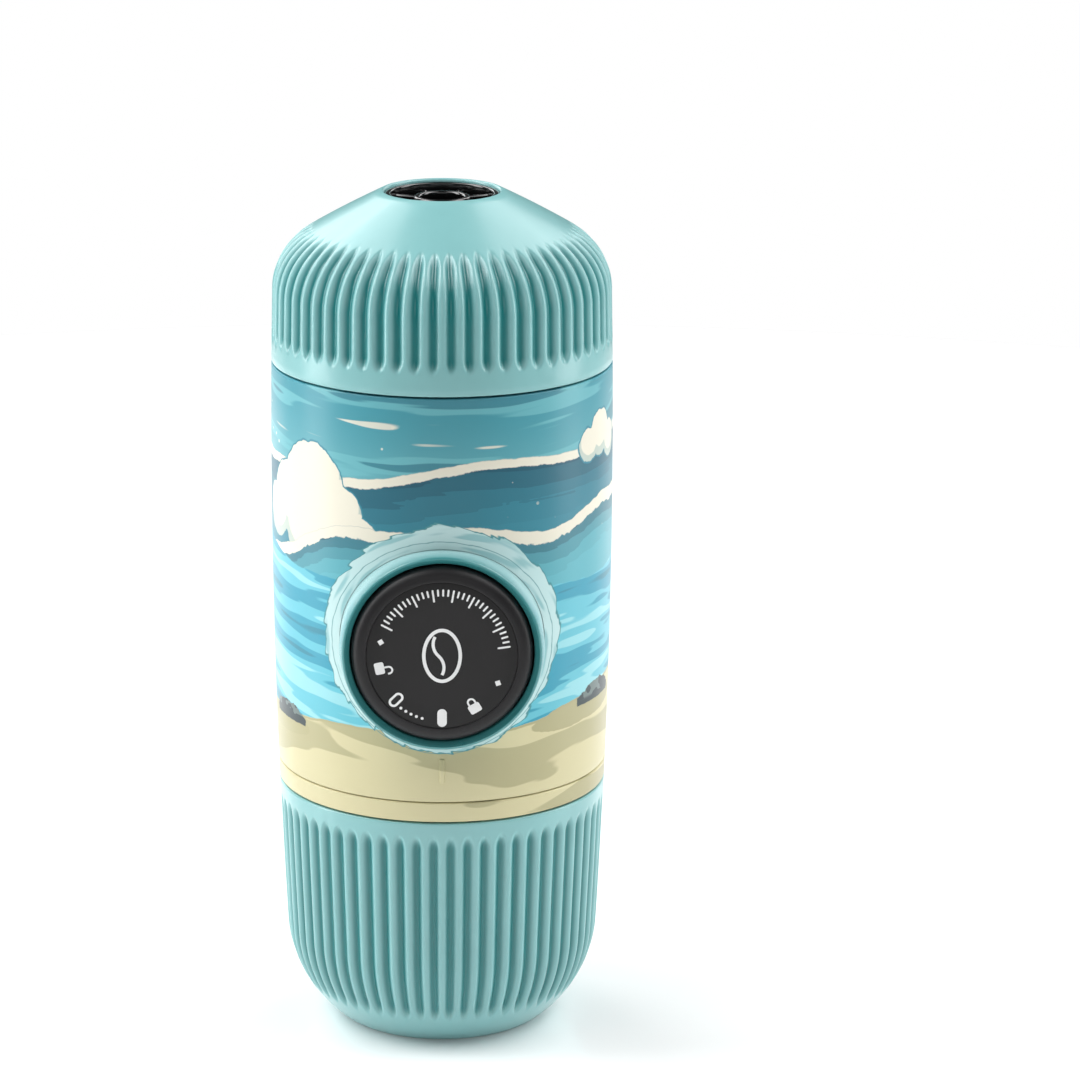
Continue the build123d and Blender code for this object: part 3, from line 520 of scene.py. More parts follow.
class NodeSheet:
    """Node tree of one finish, with its arithmetic written as Python expressions."""

    def __init__(self, name: str) -> None:
        """Starts a material with a Principled surface.

        Args:
            name: the material's name.
        """
        self.material = bpy.data.materials.new(name)
        self.material.use_nodes = True
        self.tree = self.material.node_tree
        self.tree.nodes.clear()
        self.surface = self.tree.nodes.new("ShaderNodeBsdfPrincipled")
        output = self.tree.nodes.new("ShaderNodeOutputMaterial")
        self.tree.links.new(self.surface.outputs["BSDF"], output.inputs["Surface"])
        where = self.tree.nodes.new("ShaderNodeTexCoord")
        self.spot = self.vector_scaled(where.outputs["Object"], 1 / MM)
        split = self.tree.nodes.new("ShaderNodeSeparateXYZ")
        self.tree.links.new(self.spot, split.inputs[0])
        self.x, self.y, self.z = (Field(self, split.outputs[i]) for i in range(3))

    def feed(self, socket: bpy.types.NodeSocket, value: object) -> None:
        """Links a field or a socket to an input, or sets a plain value on it.

        Args:
            socket: the input.
            value: the field, the socket or the value.
        """
        if isinstance(value, Field):
            self.tree.links.new(value.socket, socket)
        elif isinstance(value, bpy.types.NodeSocket):
            self.tree.links.new(value, socket)
        else:
            socket.default_value = value

    def math(self, kind: str, *values: Input) -> Field:
        """One arithmetic step.

        Args:
            kind: the operation.
            values: what goes in.

        Returns:
            The result.
        """
        node = self.tree.nodes.new("ShaderNodeMath")
        node.operation = kind
        for socket, value in zip(node.inputs, values):
            self.feed(socket, value)
        return Field(self, node.outputs[0])

    def soft_step(self, value: Field, low: float, high: float) -> Field:
        """Smooth step of a field between two values.

        Args:
            value: the field.
            low: where the step is 0.
            high: where the step is 1.

        Returns:
            The step.
        """
        node = self.tree.nodes.new("ShaderNodeMapRange")
        node.interpolation_type = "SMOOTHSTEP"
        ends = (low, high, 0.0, 1.0) if low < high else (high, low, 1.0, 0.0)
        for name, end in zip(("From Min", "From Max", "To Min", "To Max"), ends):
            node.inputs[name].default_value = end
        self.feed(node.inputs["Value"], value)
        return Field(self, node.outputs[0])

    def vector_scaled(self, vector: bpy.types.NodeSocket, by: object) -> bpy.types.NodeSocket:
        """A vector times a number, or times three numbers.

        Args:
            vector: the vector.
            by: the number, or the three numbers.

        Returns:
            The vector's socket.
        """
        node = self.tree.nodes.new("ShaderNodeVectorMath")
        node.operation = "MULTIPLY"
        self.feed(node.inputs[0], vector)
        node.inputs[1].default_value = by if isinstance(by, tuple) else (by, by, by)
        return node.outputs[0]

    def vector(self, x: Input, y: Input, z: Input) -> bpy.types.NodeSocket:
        """A vector of three fields.

        Args:
            x, y, z: its parts.

        Returns:
            The vector's socket.
        """
        node = self.tree.nodes.new("ShaderNodeCombineXYZ")
        for socket, value in zip(node.inputs, (x, y, z)):
            self.feed(socket, value)
        return node.outputs[0]

    def noise(self, size: float, stretch: Place = (1.0, 1.0, 1.0), detail: float = 2.0,
              at: Optional[bpy.types.NodeSocket] = None, shift: float = 0.0) -> Field:
        """Soft noise, 0 to 1 and about 0.5 in the mean.

        Args:
            size: size of its spots, in millimetres.
            stretch: factors on the three axes; a small one draws the spots out along that axis.
            detail: number of finer octaves.
            at: the vector it is read at, or the surface's own place.
            shift: offset that makes a different pattern.

        Returns:
            The noise.
        """
        node = self.tree.nodes.new("ShaderNodeTexNoise")
        node.noise_dimensions = "4D"
        node.inputs["W"].default_value = shift
        node.inputs["Scale"].default_value = 1 / size
        node.inputs["Detail"].default_value = detail
        self.feed(node.inputs["Vector"], self.vector_scaled(at or self.spot, stretch))
        return Field(self, node.outputs["Fac"])

    def pump_radius(self) -> Field:
        """Distance from the pump's axis, in millimetres."""
        rise = self.z - PUMP_Z
        return (self.x * self.x + rise * rise).root()

    def stored(self, name: str) -> Field:
        """A number that the piece keeps on its points.

        Args:
            name: the attribute's name.

        Returns:
            The number.
        """
        node = self.tree.nodes.new("ShaderNodeAttribute")
        node.attribute_name = name
        return Field(self, node.outputs["Fac"])

    def cells(self, size: float) -> Field:
        """Distance to the nearest of many scattered points.

        Args:
            size: size of a cell, in millimetres.

        Returns:
            The distance, in cells.
        """
        node = self.tree.nodes.new("ShaderNodeTexVoronoi")
        node.inputs["Scale"].default_value = 1 / size
        self.feed(node.inputs["Vector"], self.spot)
        return Field(self, node.outputs["Distance"])

    def blend(self, share: Input, first: object, second: object) -> bpy.types.NodeSocket:
        """Colour between two colours.

        Args:
            share: 0 for the first, 1 for the second.
            first, second: colours or colour sockets.

        Returns:
            The colour's socket.
        """
        node = self.tree.nodes.new("ShaderNodeMix")
        node.data_type = "RGBA"
        self.feed(node.inputs[0], share)
        for index, colour in ((6, first), (7, second)):
            self.feed(node.inputs[index], (*colour, 1.0) if isinstance(colour, tuple) else colour)
        return node.outputs[2]

    def relief(self, height: Field, depth: float, strength: float = 1.0) -> None:
        """Gives the surface a bump.

        Args:
            height: field from 0 to 1.
            depth: height of the relief in millimetres.
            strength: share of the bump that shows.
        """
        node = self.tree.nodes.new("ShaderNodeBump")
        node.inputs["Distance"].default_value = depth * MM
        node.inputs["Strength"].default_value = strength
        self.feed(node.inputs["Height"], height)
        self.tree.links.new(node.outputs[0], self.surface.inputs["Normal"])

    def set(self, **values: object) -> None:
        """Sets inputs of the surface by name, with underscores for spaces."""
        for name, value in values.items():
            self.feed(self.surface.inputs[name.replace("_", " ")], value)


# ---------------------------------------------------------------- finishes
class Tooling(Enum):
    """Texture that a tool or a mould leaves: spot size, and factors along the three axes."""

    SPARK = (0.16, (1.0, 1.0, 1.0))
    FINE = (0.09, (1.0, 1.0, 1.0))
    COARSE = (0.35, (1.0, 1.0, 1.0))
    DRAWN_LEVEL = (0.12, (0.03, 0.03, 1.0))
    DRAWN_ALONG_PUMP = (0.10, (1.0, 0.03, 1.0))

    @property
    def size(self) -> float:
        """Spot size in millimetres."""
        return self.value[0]

    @property
    def stretch(self) -> Place:
        """Factors along the axes."""
        return self.value[1]


SCRATCH_FINENESS = 90    # the higher, the thinner the hair scratches
WORN_GAIN = 1.25         # how much lighter a scratch is
WORN_LIFT = 0.02
WORN_COVER = 0.5
WORN_ROUGHNESS = 0.15


@dataclass(frozen=True)
class Finish:
    """A finish: base colour, its cloudiness, roughness, and the texture the tool left."""

    name: str
    colour: Colour
    roughness: float
    tooling: Tooling = Tooling.SPARK
    depth: float = 0.012
    cloud: float = 0.06
    cloud_size: float = 9.0
    metallic: float = 0.0
    specular: float = 0.5
    rough_spread: float = 0.08
    scuffs: float = 0.25

    def material(self) -> bpy.types.Material:
        """Draws the finish's nodes.

        Returns:
            The finish as a material.
        """
        sheet = NodeSheet(self.name)
        cloud = sheet.noise(self.cloud_size, detail=3.0)
        light = tuple(min(1.0, part * (1 + self.cloud)) for part in self.colour)
        dark = tuple(part * (1 - self.cloud) for part in self.colour)
        grain = sheet.noise(self.tooling.size, self.tooling.stretch, shift=3.0)
        scuff = self.scuff(sheet)
        colour = sheet.blend(cloud.rising(0.3, 0.7), dark, light)
        worn = tuple(min(1.0, part * WORN_GAIN + WORN_LIFT) for part in self.colour)
        shown = sheet.blend(scuff * WORN_COVER * self.scuffs, colour, worn)
        sheet.set(Base_Color=self.tint(sheet, shown))
        rough = (grain - 0.5) * self.rough_spread + (cloud - 0.5) * self.rough_spread + self.roughness
        sheet.set(Roughness=rough + scuff * WORN_ROUGHNESS * self.scuffs)
        sheet.set(Metallic=self.metallic, Specular_IOR_Level=self.specular)
        self.bump(sheet, grain)
        self.extra(sheet)
        return sheet.material

    def scuff(self, sheet: NodeSheet) -> Field:
        """Thin hair scratches in patches.

        Args:
            sheet: the sheet that is drawn on.

        Returns:
            Field of 1 on a scratch and 0 beside it.
        """
        bent = sheet.noise(2.4, (1.0, 1.0, 0.25), detail=1.0, shift=7.0)
        patch = sheet.noise(14.0, detail=1.0, shift=11.0).rising(0.52, 0.7)
        return (1 - (abs(bent - 0.5) * SCRATCH_FINENESS).least(1.0)) * patch

    def bump(self, sheet: NodeSheet, grain: Field) -> None:
        """Raises the grain that the tool left."""
        sheet.relief(grain, self.depth)

    def tint(self, sheet: NodeSheet, colour: bpy.types.NodeSocket) -> bpy.types.NodeSocket:
        """Room for a change of colour over the piece; plain finishes keep theirs."""
        return colour

    def extra(self, sheet: NodeSheet) -> None:
        """Room for what a kind of finish adds; plain finishes add nothing."""


@dataclass(frozen=True)
class ClearFinish(Finish):
    """Smoky plastic that light passes through."""

    clearness: float = 0.7
    ior: float = 1.49

    def extra(self, sheet: NodeSheet) -> None:
        """Lets light through."""
        sheet.set(Transmission_Weight=self.clearness, IOR=self.ior)


@dataclass(frozen=True)
class SoftFinish(Finish):
    """Rubber or silicone, with a soft sheen and some light under the skin."""

    milkiness: float = 0.0
    light_reach: float = 1.5
    sheen: float = 0.25
    sheen_roughness: float = 0.5

    def extra(self, sheet: NodeSheet) -> None:
        """Adds sheen, and light under the skin where the rubber is milky."""
        sheet.set(Sheen_Weight=self.sheen, Sheen_Roughness=self.sheen_roughness)
        sheet.set(Subsurface_Weight=self.milkiness, Subsurface_Scale=self.light_reach * MM)


@dataclass(frozen=True)
class TurnedFinish(Finish):
    """Metal that a lathe has turned about the valves' axis, with fine feed rings."""

    axis_y: float = 18.25
    feed: float = 0.18
    ring_strength: float = 0.5

    def bump(self, sheet: NodeSheet, grain: Field) -> None:
        """Raises the feed rings in place of a grain.

        Args:
            sheet: the sheet that is drawn on.
            grain: the texture that other finishes raise; not used here.
        """
        across = sheet.y - self.axis_y
        radius = (sheet.x * sheet.x + across * across).root()
        rings = (((radius + sheet.z) * (2 * math.pi / self.feed)).cos() + 1) * 0.5
        sheet.relief(rings, self.depth, self.ring_strength)


@dataclass(frozen=True)
class CoatedFinish(Finish):
    """Plastic under a thin, smooth lacquer."""

    coat: float = 0.35
    coat_roughness: float = 0.2

    def extra(self, sheet: NodeSheet) -> None:
        """Adds the lacquer."""
        sheet.set(Coat_Weight=self.coat, Coat_Roughness=self.coat_roughness)


@dataclass(frozen=True)
class FlutedFinish(CoatedFinish):
    """Moulded plastic with painted shade in its flutes: the colour darkens towards a shade colour with the
    flute's depth.
    """

    # colour of the painted shade at a flute's deepest point
    valley_shade: Colour = (0.0, 0.0, 0.0)
    # flute depths between which the painted shade comes in
    shade_ramp: Point = (0.15, 1.0)

    def tint(self, sheet: NodeSheet, colour: bpy.types.NodeSocket) -> bpy.types.NodeSocket:
        """Paints shade into the flutes, deeper with the depth that the shell keeps on its points."""
        return sheet.blend(sheet.stored("flute").rising(*self.shade_ramp), colour, self.valley_shade)


@dataclass(frozen=True)
class RingFinish(CoatedFinish):
    """Moulded plastic of the knob's ring, with painted light and shade: its pale colour paints a highlight on
    the outer flank, and its inner face gets painted shade.
    """

    # colour of the painted shade on the inner face
    inner: Colour = (0.0, 0.0, 0.0)
    edge_r: float = 17.9
    edge_soft: float = 0.3

    def tint(self, sheet: NodeSheet, colour: bpy.types.NodeSocket) -> bpy.types.NodeSocket:
        """Paints shade on the inner face, inside the crest."""
        outside = sheet.pump_radius().rising(self.edge_r - self.edge_soft, self.edge_r + self.edge_soft)
        return sheet.blend(outside, self.inner, colour)


@dataclass(frozen=True)
class DialFinish(Finish):
    """Satin face with painted shade that grows darker towards its edge, by the knob's rim."""

    # colour of the painted shade at the dial's edge
    edge: Colour = (0.0, 0.0, 0.0)
    # radii between which the painted shade comes in
    shade_span: Point = (8.5, 13.6)

    def tint(self, sheet: NodeSheet, colour: bpy.types.NodeSocket) -> bpy.types.NodeSocket:
        """Paints shade that darkens the colour outwards."""
        return sheet.blend(sheet.pump_radius().rising(*self.shade_span), colour, self.edge)


# teal_moulding: its valley colour is painted shade in the flutes
TEAL = FlutedFinish(
    "teal_moulding", srgb(128, 183, 184), 0.29, depth=0.001, cloud=0.02, scuffs=0.05, rough_spread=0.04,
    coat=0.3, coat_roughness=0.17, valley_shade=srgb(10, 118, 119),
)
# teal_ring: its pale colour, lighter than the teal shells, stands in for a highlight on the outer flank;
# inner is the painted shade on the inner face
TEAL_RING = RingFinish(
    "teal_ring", srgb(156, 196, 198), 0.28, Tooling.FINE, 0.001, cloud=0.02, scuffs=0.05, rough_spread=0.04,
    specular=0.6, coat=0.4, coat_roughness=0.14, inner=srgb(58, 136, 138),
)
KNOB_BLACK = Finish(
    "knob_black", srgb(24, 23, 25), 0.42, Tooling.FINE, 0.003, cloud=0.08, specular=0.32, scuffs=0.3,
)
# dial_black: edge is the colour of the painted shade at the dial's rim
DIAL_BLACK = DialFinish(
    "dial_black", srgb(27, 26, 27), 0.42, Tooling.FINE, 0.003, cloud=0.08, specular=0.32, scuffs=0.3,
    edge=srgb(17, 16, 17),
)
BOWL_BLACK = CoatedFinish(
    "bowl_black", srgb(8, 8, 9), 0.14, Tooling.FINE, 0.001, cloud=0.1, scuffs=0.1,
    coat=0.8, coat_roughness=0.04,
)
CHASSIS_BLACK = Finish("chassis_black", srgb(38, 38, 41), 0.5, Tooling.COARSE, 0.02, cloud=0.1, scuffs=0.5)
INK_WHITE = Finish("dial_ink", srgb(236, 237, 237), 0.5, Tooling.FINE, 0.004, cloud=0.04, scuffs=0.0)
SMOKE = ClearFinish(
    "smoke_plastic", srgb(196, 202, 206), 0.14, Tooling.FINE, 0.003, cloud=0.05, scuffs=0.3,
)
GREY_SLIDE = Finish(
    "grey_slide_plastic", srgb(172, 174, 177), 0.42, Tooling.DRAWN_ALONG_PUMP, 0.006, scuffs=0.5,
)
SILICONE = SoftFinish("silicone", srgb(214, 216, 214), 0.42, depth=0.01, milkiness=0.3)
RUBBER = SoftFinish("black_rubber", srgb(30, 30, 31), 0.68, Tooling.COARSE, 0.02, cloud=0.12, scuffs=0.2)
STEEL = Finish(
    "brushed_steel", srgb(205, 206, 208), 0.28, Tooling.DRAWN_LEVEL, 0.004, metallic=1.0,
    rough_spread=0.16, scuffs=0.6,
)
BALL_STEEL = Finish(
    "ball_steel", srgb(225, 226, 228), 0.07, Tooling.FINE, 0.001, metallic=1.0,
    rough_spread=0.03, scuffs=0.4,
)
BRASS = TurnedFinish(
    "turned_brass", srgb(214, 180, 104), 0.26, Tooling.FINE, 0.01, metallic=1.0,
    rough_spread=0.1, scuffs=0.5,
)

FINISH_OF_SLOT: dict[str, Finish] = {
    "teal_plastic": TEAL,
    "teal_gloss": TEAL_RING,
    "clear_grey_plastic": SMOKE,
    "black_plastic": CHASSIS_BLACK,
    "black_satin": KNOB_BLACK,
    "black_gloss": BOWL_BLACK,
    "dial_black": DIAL_BLACK,
    "grey_plastic": GREY_SLIDE,
    "silicone": SILICONE,
    "black_rubber": RUBBER,
    "steel": STEEL,
    "ball_steel": BALL_STEEL,
    "brass": BRASS,
}


# ---------------------------------------------------------------- print
Layers = tuple[tuple[Colour, float, float, float], ...]


@dataclass(frozen=True)
class Ridge:
    """A line of hills: its height, and waves of (height, number round the body, turn in degrees)."""

    level: float
    waves: tuple[tuple[float, int, float], ...]
    ragged: float

    def line(self, print_: "PrintSheet") -> Field:
        """Draws the ridge round the body.

        Args:
            print_: the sheet that is drawn on.

        Returns:
            The ridge's height.
        """
        total: Input = self.level
        for height, count, turn in self.waves:
            phase = print_.angle * count - math.radians(turn * count)
            total = phase.cos() * height + total
        return print_.rough_edge * self.ragged + total


@dataclass(frozen=True)
class Puff:
    """One round of a cloud, or one rock: its turn in degrees, height and radius."""

    turn: float
    height: float
    radius: float


@dataclass(frozen=True)
class Strata:
    """Long level bands: noise drawn out round the body, and a wave that tilts it.

    The wave's phase is in radians.
    """

    size: float
    level_factor: float
    upright_factor: float
    wave: float
    wave_count: int
    wave_phase: float
    shift: float


class PrintSheet(NodeSheet):
    """The printed landscape, painted layer over layer like a screen print.

    Layers are a colour, the two values of the bands between which it comes in, and its strength.
    """

    SKY_LOW = srgb(126, 190, 196)
    SKY_HIGH = srgb(66, 146, 160)
    SKY_STREAK = srgb(104, 176, 184)
    SKY_DEEP = srgb(40, 112, 130)
    HILL_DEEP = srgb(20, 78, 98)
    HILL_MID = srgb(48, 128, 146)
    HILL_PALE = srgb(92, 172, 184)
    CREAM = srgb(226, 222, 205)
    CREAM_SHADE = srgb(184, 196, 186)
    LAGOON = srgb(98, 186, 202)
    LAGOON_PALE = srgb(146, 208, 216)
    LAGOON_DEEP = srgb(54, 152, 176)
    SAND = srgb(206, 199, 158)
    SAND_SHADE = srgb(172, 167, 128)
    LEAF = srgb(52, 66, 70)
    ROCK_PALE = srgb(104, 120, 118)
    HALO = srgb(190, 220, 220)
    HALO_STROKE = srgb(104, 172, 178)
    HALO_LINE = srgb(70, 140, 146)

    SKY_SPAN = (92, 124)
    SKY_BANDS = Strata(9.0, 0.2, 2.6, 3.0, 1, 0.0, 8.0)
    LAGOON_BANDS = Strata(8.0, 0.25, 2.2, 1.6, 2, 1.0, 1.0)
    SAND_BANDS = Strata(11.0, 0.3, 1.7, 2.2, 3, -0.5, 4.0)
    SKY_LAYERS: Layers = (
        (SKY_STREAK, 0.50, 0.53, 0.85), (SKY_DEEP, 0.60, 0.62, 0.75), (CREAM, 0.345, 0.325, 0.85),
    )
    LAGOON_LAYERS: Layers = (
        (LAGOON_DEEP, 0.50, 0.52, 1.0), (LAGOON_PALE, 0.43, 0.41, 1.0), (HILL_MID, 0.63, 0.65, 0.8),
    )
    SAND_LAYERS: Layers = ((SAND_SHADE, 0.53, 0.55, 0.9),)
    SAND_RIM = 0.45          # height of the shade under the sand's crest
    CONTOURS = 5             # contour bands from a range's crest to its foot
    LAP = 2 * 31.0**2        # makes 1 less the cosine of a turn the square of the way round the body
    CLOUD_SHADE = (0.28, 0.9)       # rise and size of a round's lit part, in its radius
    CLOUD_LINE = (0.42, 0.22)       # gap between which the line round a cloud comes in
    ROCK_SUNK = 0.2          # share of a rock's radius that is under the sand
    ROCK_WIDE = 0.45         # below 1, a rock is wider than a round
    ROCK_FLAT = 1.5          # above 1, a rock is lower than a round
    SHADOW_TURN = 6          # degrees from a rock to the middle of its shadow
    SHADOW_LONG = 0.12       # below 1, a shadow is longer than a round
    SHADOW_FLAT = 3          # above 1, a shadow is lower than a round
    SPECK = 3.4              # distance between specks
    SPECK_FEET = (92, 97)
    SPECK_TOPS = (121, 117)
    HALO_R = 22.4            # outer radius of the ring round the boss
    HALO_SWING = 1.4         # how much wider it is above, and narrower below
    HALO_BRUSH = 3.6         # width over which its brushed edge frays
    HALO_IN = 3.2            # where the fraying starts, inside the outer radius
    HALO_EDGE = (-0.02, -0.16)
    HALO_LINE_R = 20.1

    def __init__(self, name: str) -> None:
        """Starts the sheet with the sky and the fields that all layers use.

        Args:
            name: the material's name.
        """
        super().__init__(name)
        self.angle = self.math("ARCTAN2", self.x, self.y * -1)
        self.rough_edge = self.noise(3.2, (1.0, 1.0, 0.6), detail=3.0) * 2 - 1
        self.fine_edge = self.noise(1.1, shift=2.0) * 2 - 1
        self.streaks = self.noise(7.0, (0.16, 0.16, 3.2), shift=5.0)
        self.paint: bpy.types.NodeSocket = self.blend(
            self.z.rising(*self.SKY_SPAN), self.SKY_LOW, self.SKY_HIGH
        )

    def lay(self, colour: object, share: Input) -> None:
        """Lays a colour over the print where the share is 1."""
        self.paint = self.blend(share, self.paint, colour)

    def below(self, line: Input, soft: float = 0.12) -> Field:
        """Share of 1 below a line round the body."""
        return (line - self.z).rising(-soft, soft)

    def within(self, gap: Field, soft: float = 0.1) -> Field:
        """Share of 1 where the distance to a shape is below 0."""
        return gap.rising(soft, -soft)

    def across(self, turn: float) -> Field:
        """Square of the way round the body from a turn in degrees."""
        return (1 - (self.angle - math.radians(turn)).cos()) * self.LAP

    def bands(self, strata: Strata, base: object, layers: Layers) -> bpy.types.NodeSocket:
        """Colour with long bands in it.

        Args:
            strata: how the bands run.
            base: the colour under them.
            layers: the colours of the bands.

        Returns:
            The colour's socket.
        """
        tilt = (self.angle * strata.wave_count + strata.wave_phase).cos()
        slope = self.z + tilt * strata.wave
        flat = (self.x * strata.level_factor, self.y * strata.level_factor)
        at = self.vector(*flat, slope * strata.upright_factor)
        band = self.noise(strata.size, at=at, shift=strata.shift)
        for colour, low, high, strength in layers:
            base = self.blend(band.rising(low, high) * strength, base, colour)
        return base

    def sky(self) -> None:
        """Long streaks of mist across the sky."""
        self.paint = self.bands(self.SKY_BANDS, self.paint, self.SKY_LAYERS)

    def hills(self, ridge: Ridge, deep: Colour, pale: Colour, reach: float, rim: float) -> None:
        """One range of hills with a pale rim and contour bands.

        Args:
            ridge: its crest.
            deep, pale: colours at the crest and at the foot.
            reach: depth over which the colour changes.
            rim: thickness of the pale rim.
        """
        crest = ridge.line(self)
        inside = self.below(crest)
        fall = (crest - self.z) / reach
        steps = self.math("FLOOR", (fall + self.streaks * 0.5) * self.CONTOURS) / self.CONTOURS
        self.lay(self.blend(steps.rising(0.0, 1.0), deep, pale), inside)
        edge = crest - rim - (self.streaks + self.fine_edge * 0.3) * rim
        self.lay(self.CREAM, inside * (1 - self.below(edge)))

    def cloud(self, puffs: Sequence[Puff]) -> None:
        """A heap of cloud in cream, with shaded undersides.

        Args:
            puffs: its rounds.
        """
        gaps, lit_gaps = [], []
        rise_by, size_by = self.CLOUD_SHADE
        for puff in puffs:
            across = self.across(puff.turn)
            rise = self.z - puff.height
            lit_rise = rise - puff.radius * rise_by
            gaps.append((across + rise * rise).root() - puff.radius)
            lit_gaps.append((across + lit_rise * lit_rise).root() - puff.radius * size_by)
        edge = reduce(Field.least, gaps) + self.rough_edge * 0.9 + self.fine_edge * 0.25
        lit = (reduce(Field.least, lit_gaps) + self.rough_edge * 0.7).rising(0.1, -0.2)
        self.lay(self.HILL_MID, edge.rising(*self.CLOUD_LINE))
        self.lay(self.CREAM_SHADE, self.within(edge))
        self.lay(self.CREAM, lit * self.within(edge))

    def lagoon(self, ridge: Ridge) -> None:
        """Bright streaked water in front of the hills."""
        self.lay(self.bands(self.LAGOON_BANDS, self.LAGOON, self.LAGOON_LAYERS), self.below(ridge.line(self)))

    def dunes(self, ridge: Ridge) -> None:
        """Sand at the foot, with long shadows of its ripples.

        Args:
            ridge: the sand's crest.
        """
        crest = ridge.line(self)
        inside = self.below(crest)
        self.lay(self.bands(self.SAND_BANDS, self.SAND, self.SAND_LAYERS), inside)
        self.lay(self.SAND_SHADE, inside * (1 - self.below(crest - self.SAND_RIM)))

    def rocks(self, puffs: Sequence[Puff]) -> None:
        """Low dark rocks that lie on the sand, each with its long shadow.

        Args:
            puffs: the rocks.
        """
        for puff in puffs:
            ground = self.z - puff.height + puff.radius * self.ROCK_SUNK
            behind = self.across(puff.turn - self.SHADOW_TURN) * self.SHADOW_LONG
            shadow = (behind + (ground + 1.0) * (ground + 1.0) * self.SHADOW_FLAT).root()
            self.lay(self.SAND_SHADE, self.within(shadow - puff.radius * 0.9 + self.fine_edge * 0.3))
            rise = ground * self.ROCK_FLAT
            gap = (self.across(puff.turn) * self.ROCK_WIDE + rise * rise).root() - puff.radius
            gap = gap + self.rough_edge * 1.3 + self.fine_edge * 0.5
            body = self.within(gap) * (ground + self.fine_edge * 0.2).rising(-0.6, -0.4)
            self.lay(self.LEAF, body)
            facet = self.noise(2.6, (1.0, 1.0, 1.6), detail=1.0, shift=15.0)
            self.lay(self.ROCK_PALE, body * facet.rising(0.55, 0.57) * ground.rising(0.2, 0.9))

    def specks(self) -> None:
        """Small light specks scattered over the upper half."""
        dots = self.cells(self.SPECK).rising(0.105, 0.075)
        dots = dots * self.z.rising(*self.SPECK_FEET) * self.z.rising(*self.SPECK_TOPS)
        self.lay(self.CREAM, dots * self.noise(16.0, detail=0.0, shift=9.0).rising(0.5, 0.56) * 0.9)

    def brushed(self, turn: Field, radius: Field, factors: Point, detail: float, shift: float) -> Field:
        """Noise drawn out along strokes round the boss.

        Args:
            turn: direction from the boss.
            radius: distance from the boss, in millimetres.
            factors: how fine the strokes are along the turn and along the radius.
            detail: number of finer octaves.
            shift: offset that makes a different pattern.

        Returns:
            The noise.
        """
        round_by, out_by = factors
        at = self.vector(turn.cos() * round_by, radius * out_by, (turn - math.pi / 2).cos() * round_by)
        return self.noise(1.0, detail=detail, at=at, shift=shift)

    def halo(self) -> None:
        """Brushed ring of pale teal round the knob's boss."""
        radius = self.pump_radius()
        turn = self.math("ARCTAN2", self.x, self.z - PUMP_Z)
        brush = self.brushed(turn + radius * 0.09, radius, (5.0, 0.1), 2.0, 6.0)
        inner = turn.cos() * self.HALO_SWING + self.HALO_R - self.HALO_IN
        edge = radius - inner - brush * self.HALO_BRUSH + self.fine_edge * 0.12
        front = self.y.rising(0.5, -0.5)
        ring = edge.rising(*self.HALO_EDGE)
        self.lay(self.HALO_LINE, edge.rising(0.2, 0.05) * front)
        self.lay(self.HALO, ring * front)
        stroke = self.brushed(turn - radius * 0.12, radius, (2.2, 0.62), 1.0, 13.0)
        self.lay(self.HALO_STROKE, stroke.rising(0.50, 0.62) * ring * front * 0.6)
        line = abs(radius - self.HALO_LINE_R + brush * 0.8).rising(0.12, 0.04)
        self.lay(self.HALO_LINE, line * front * 0.7)


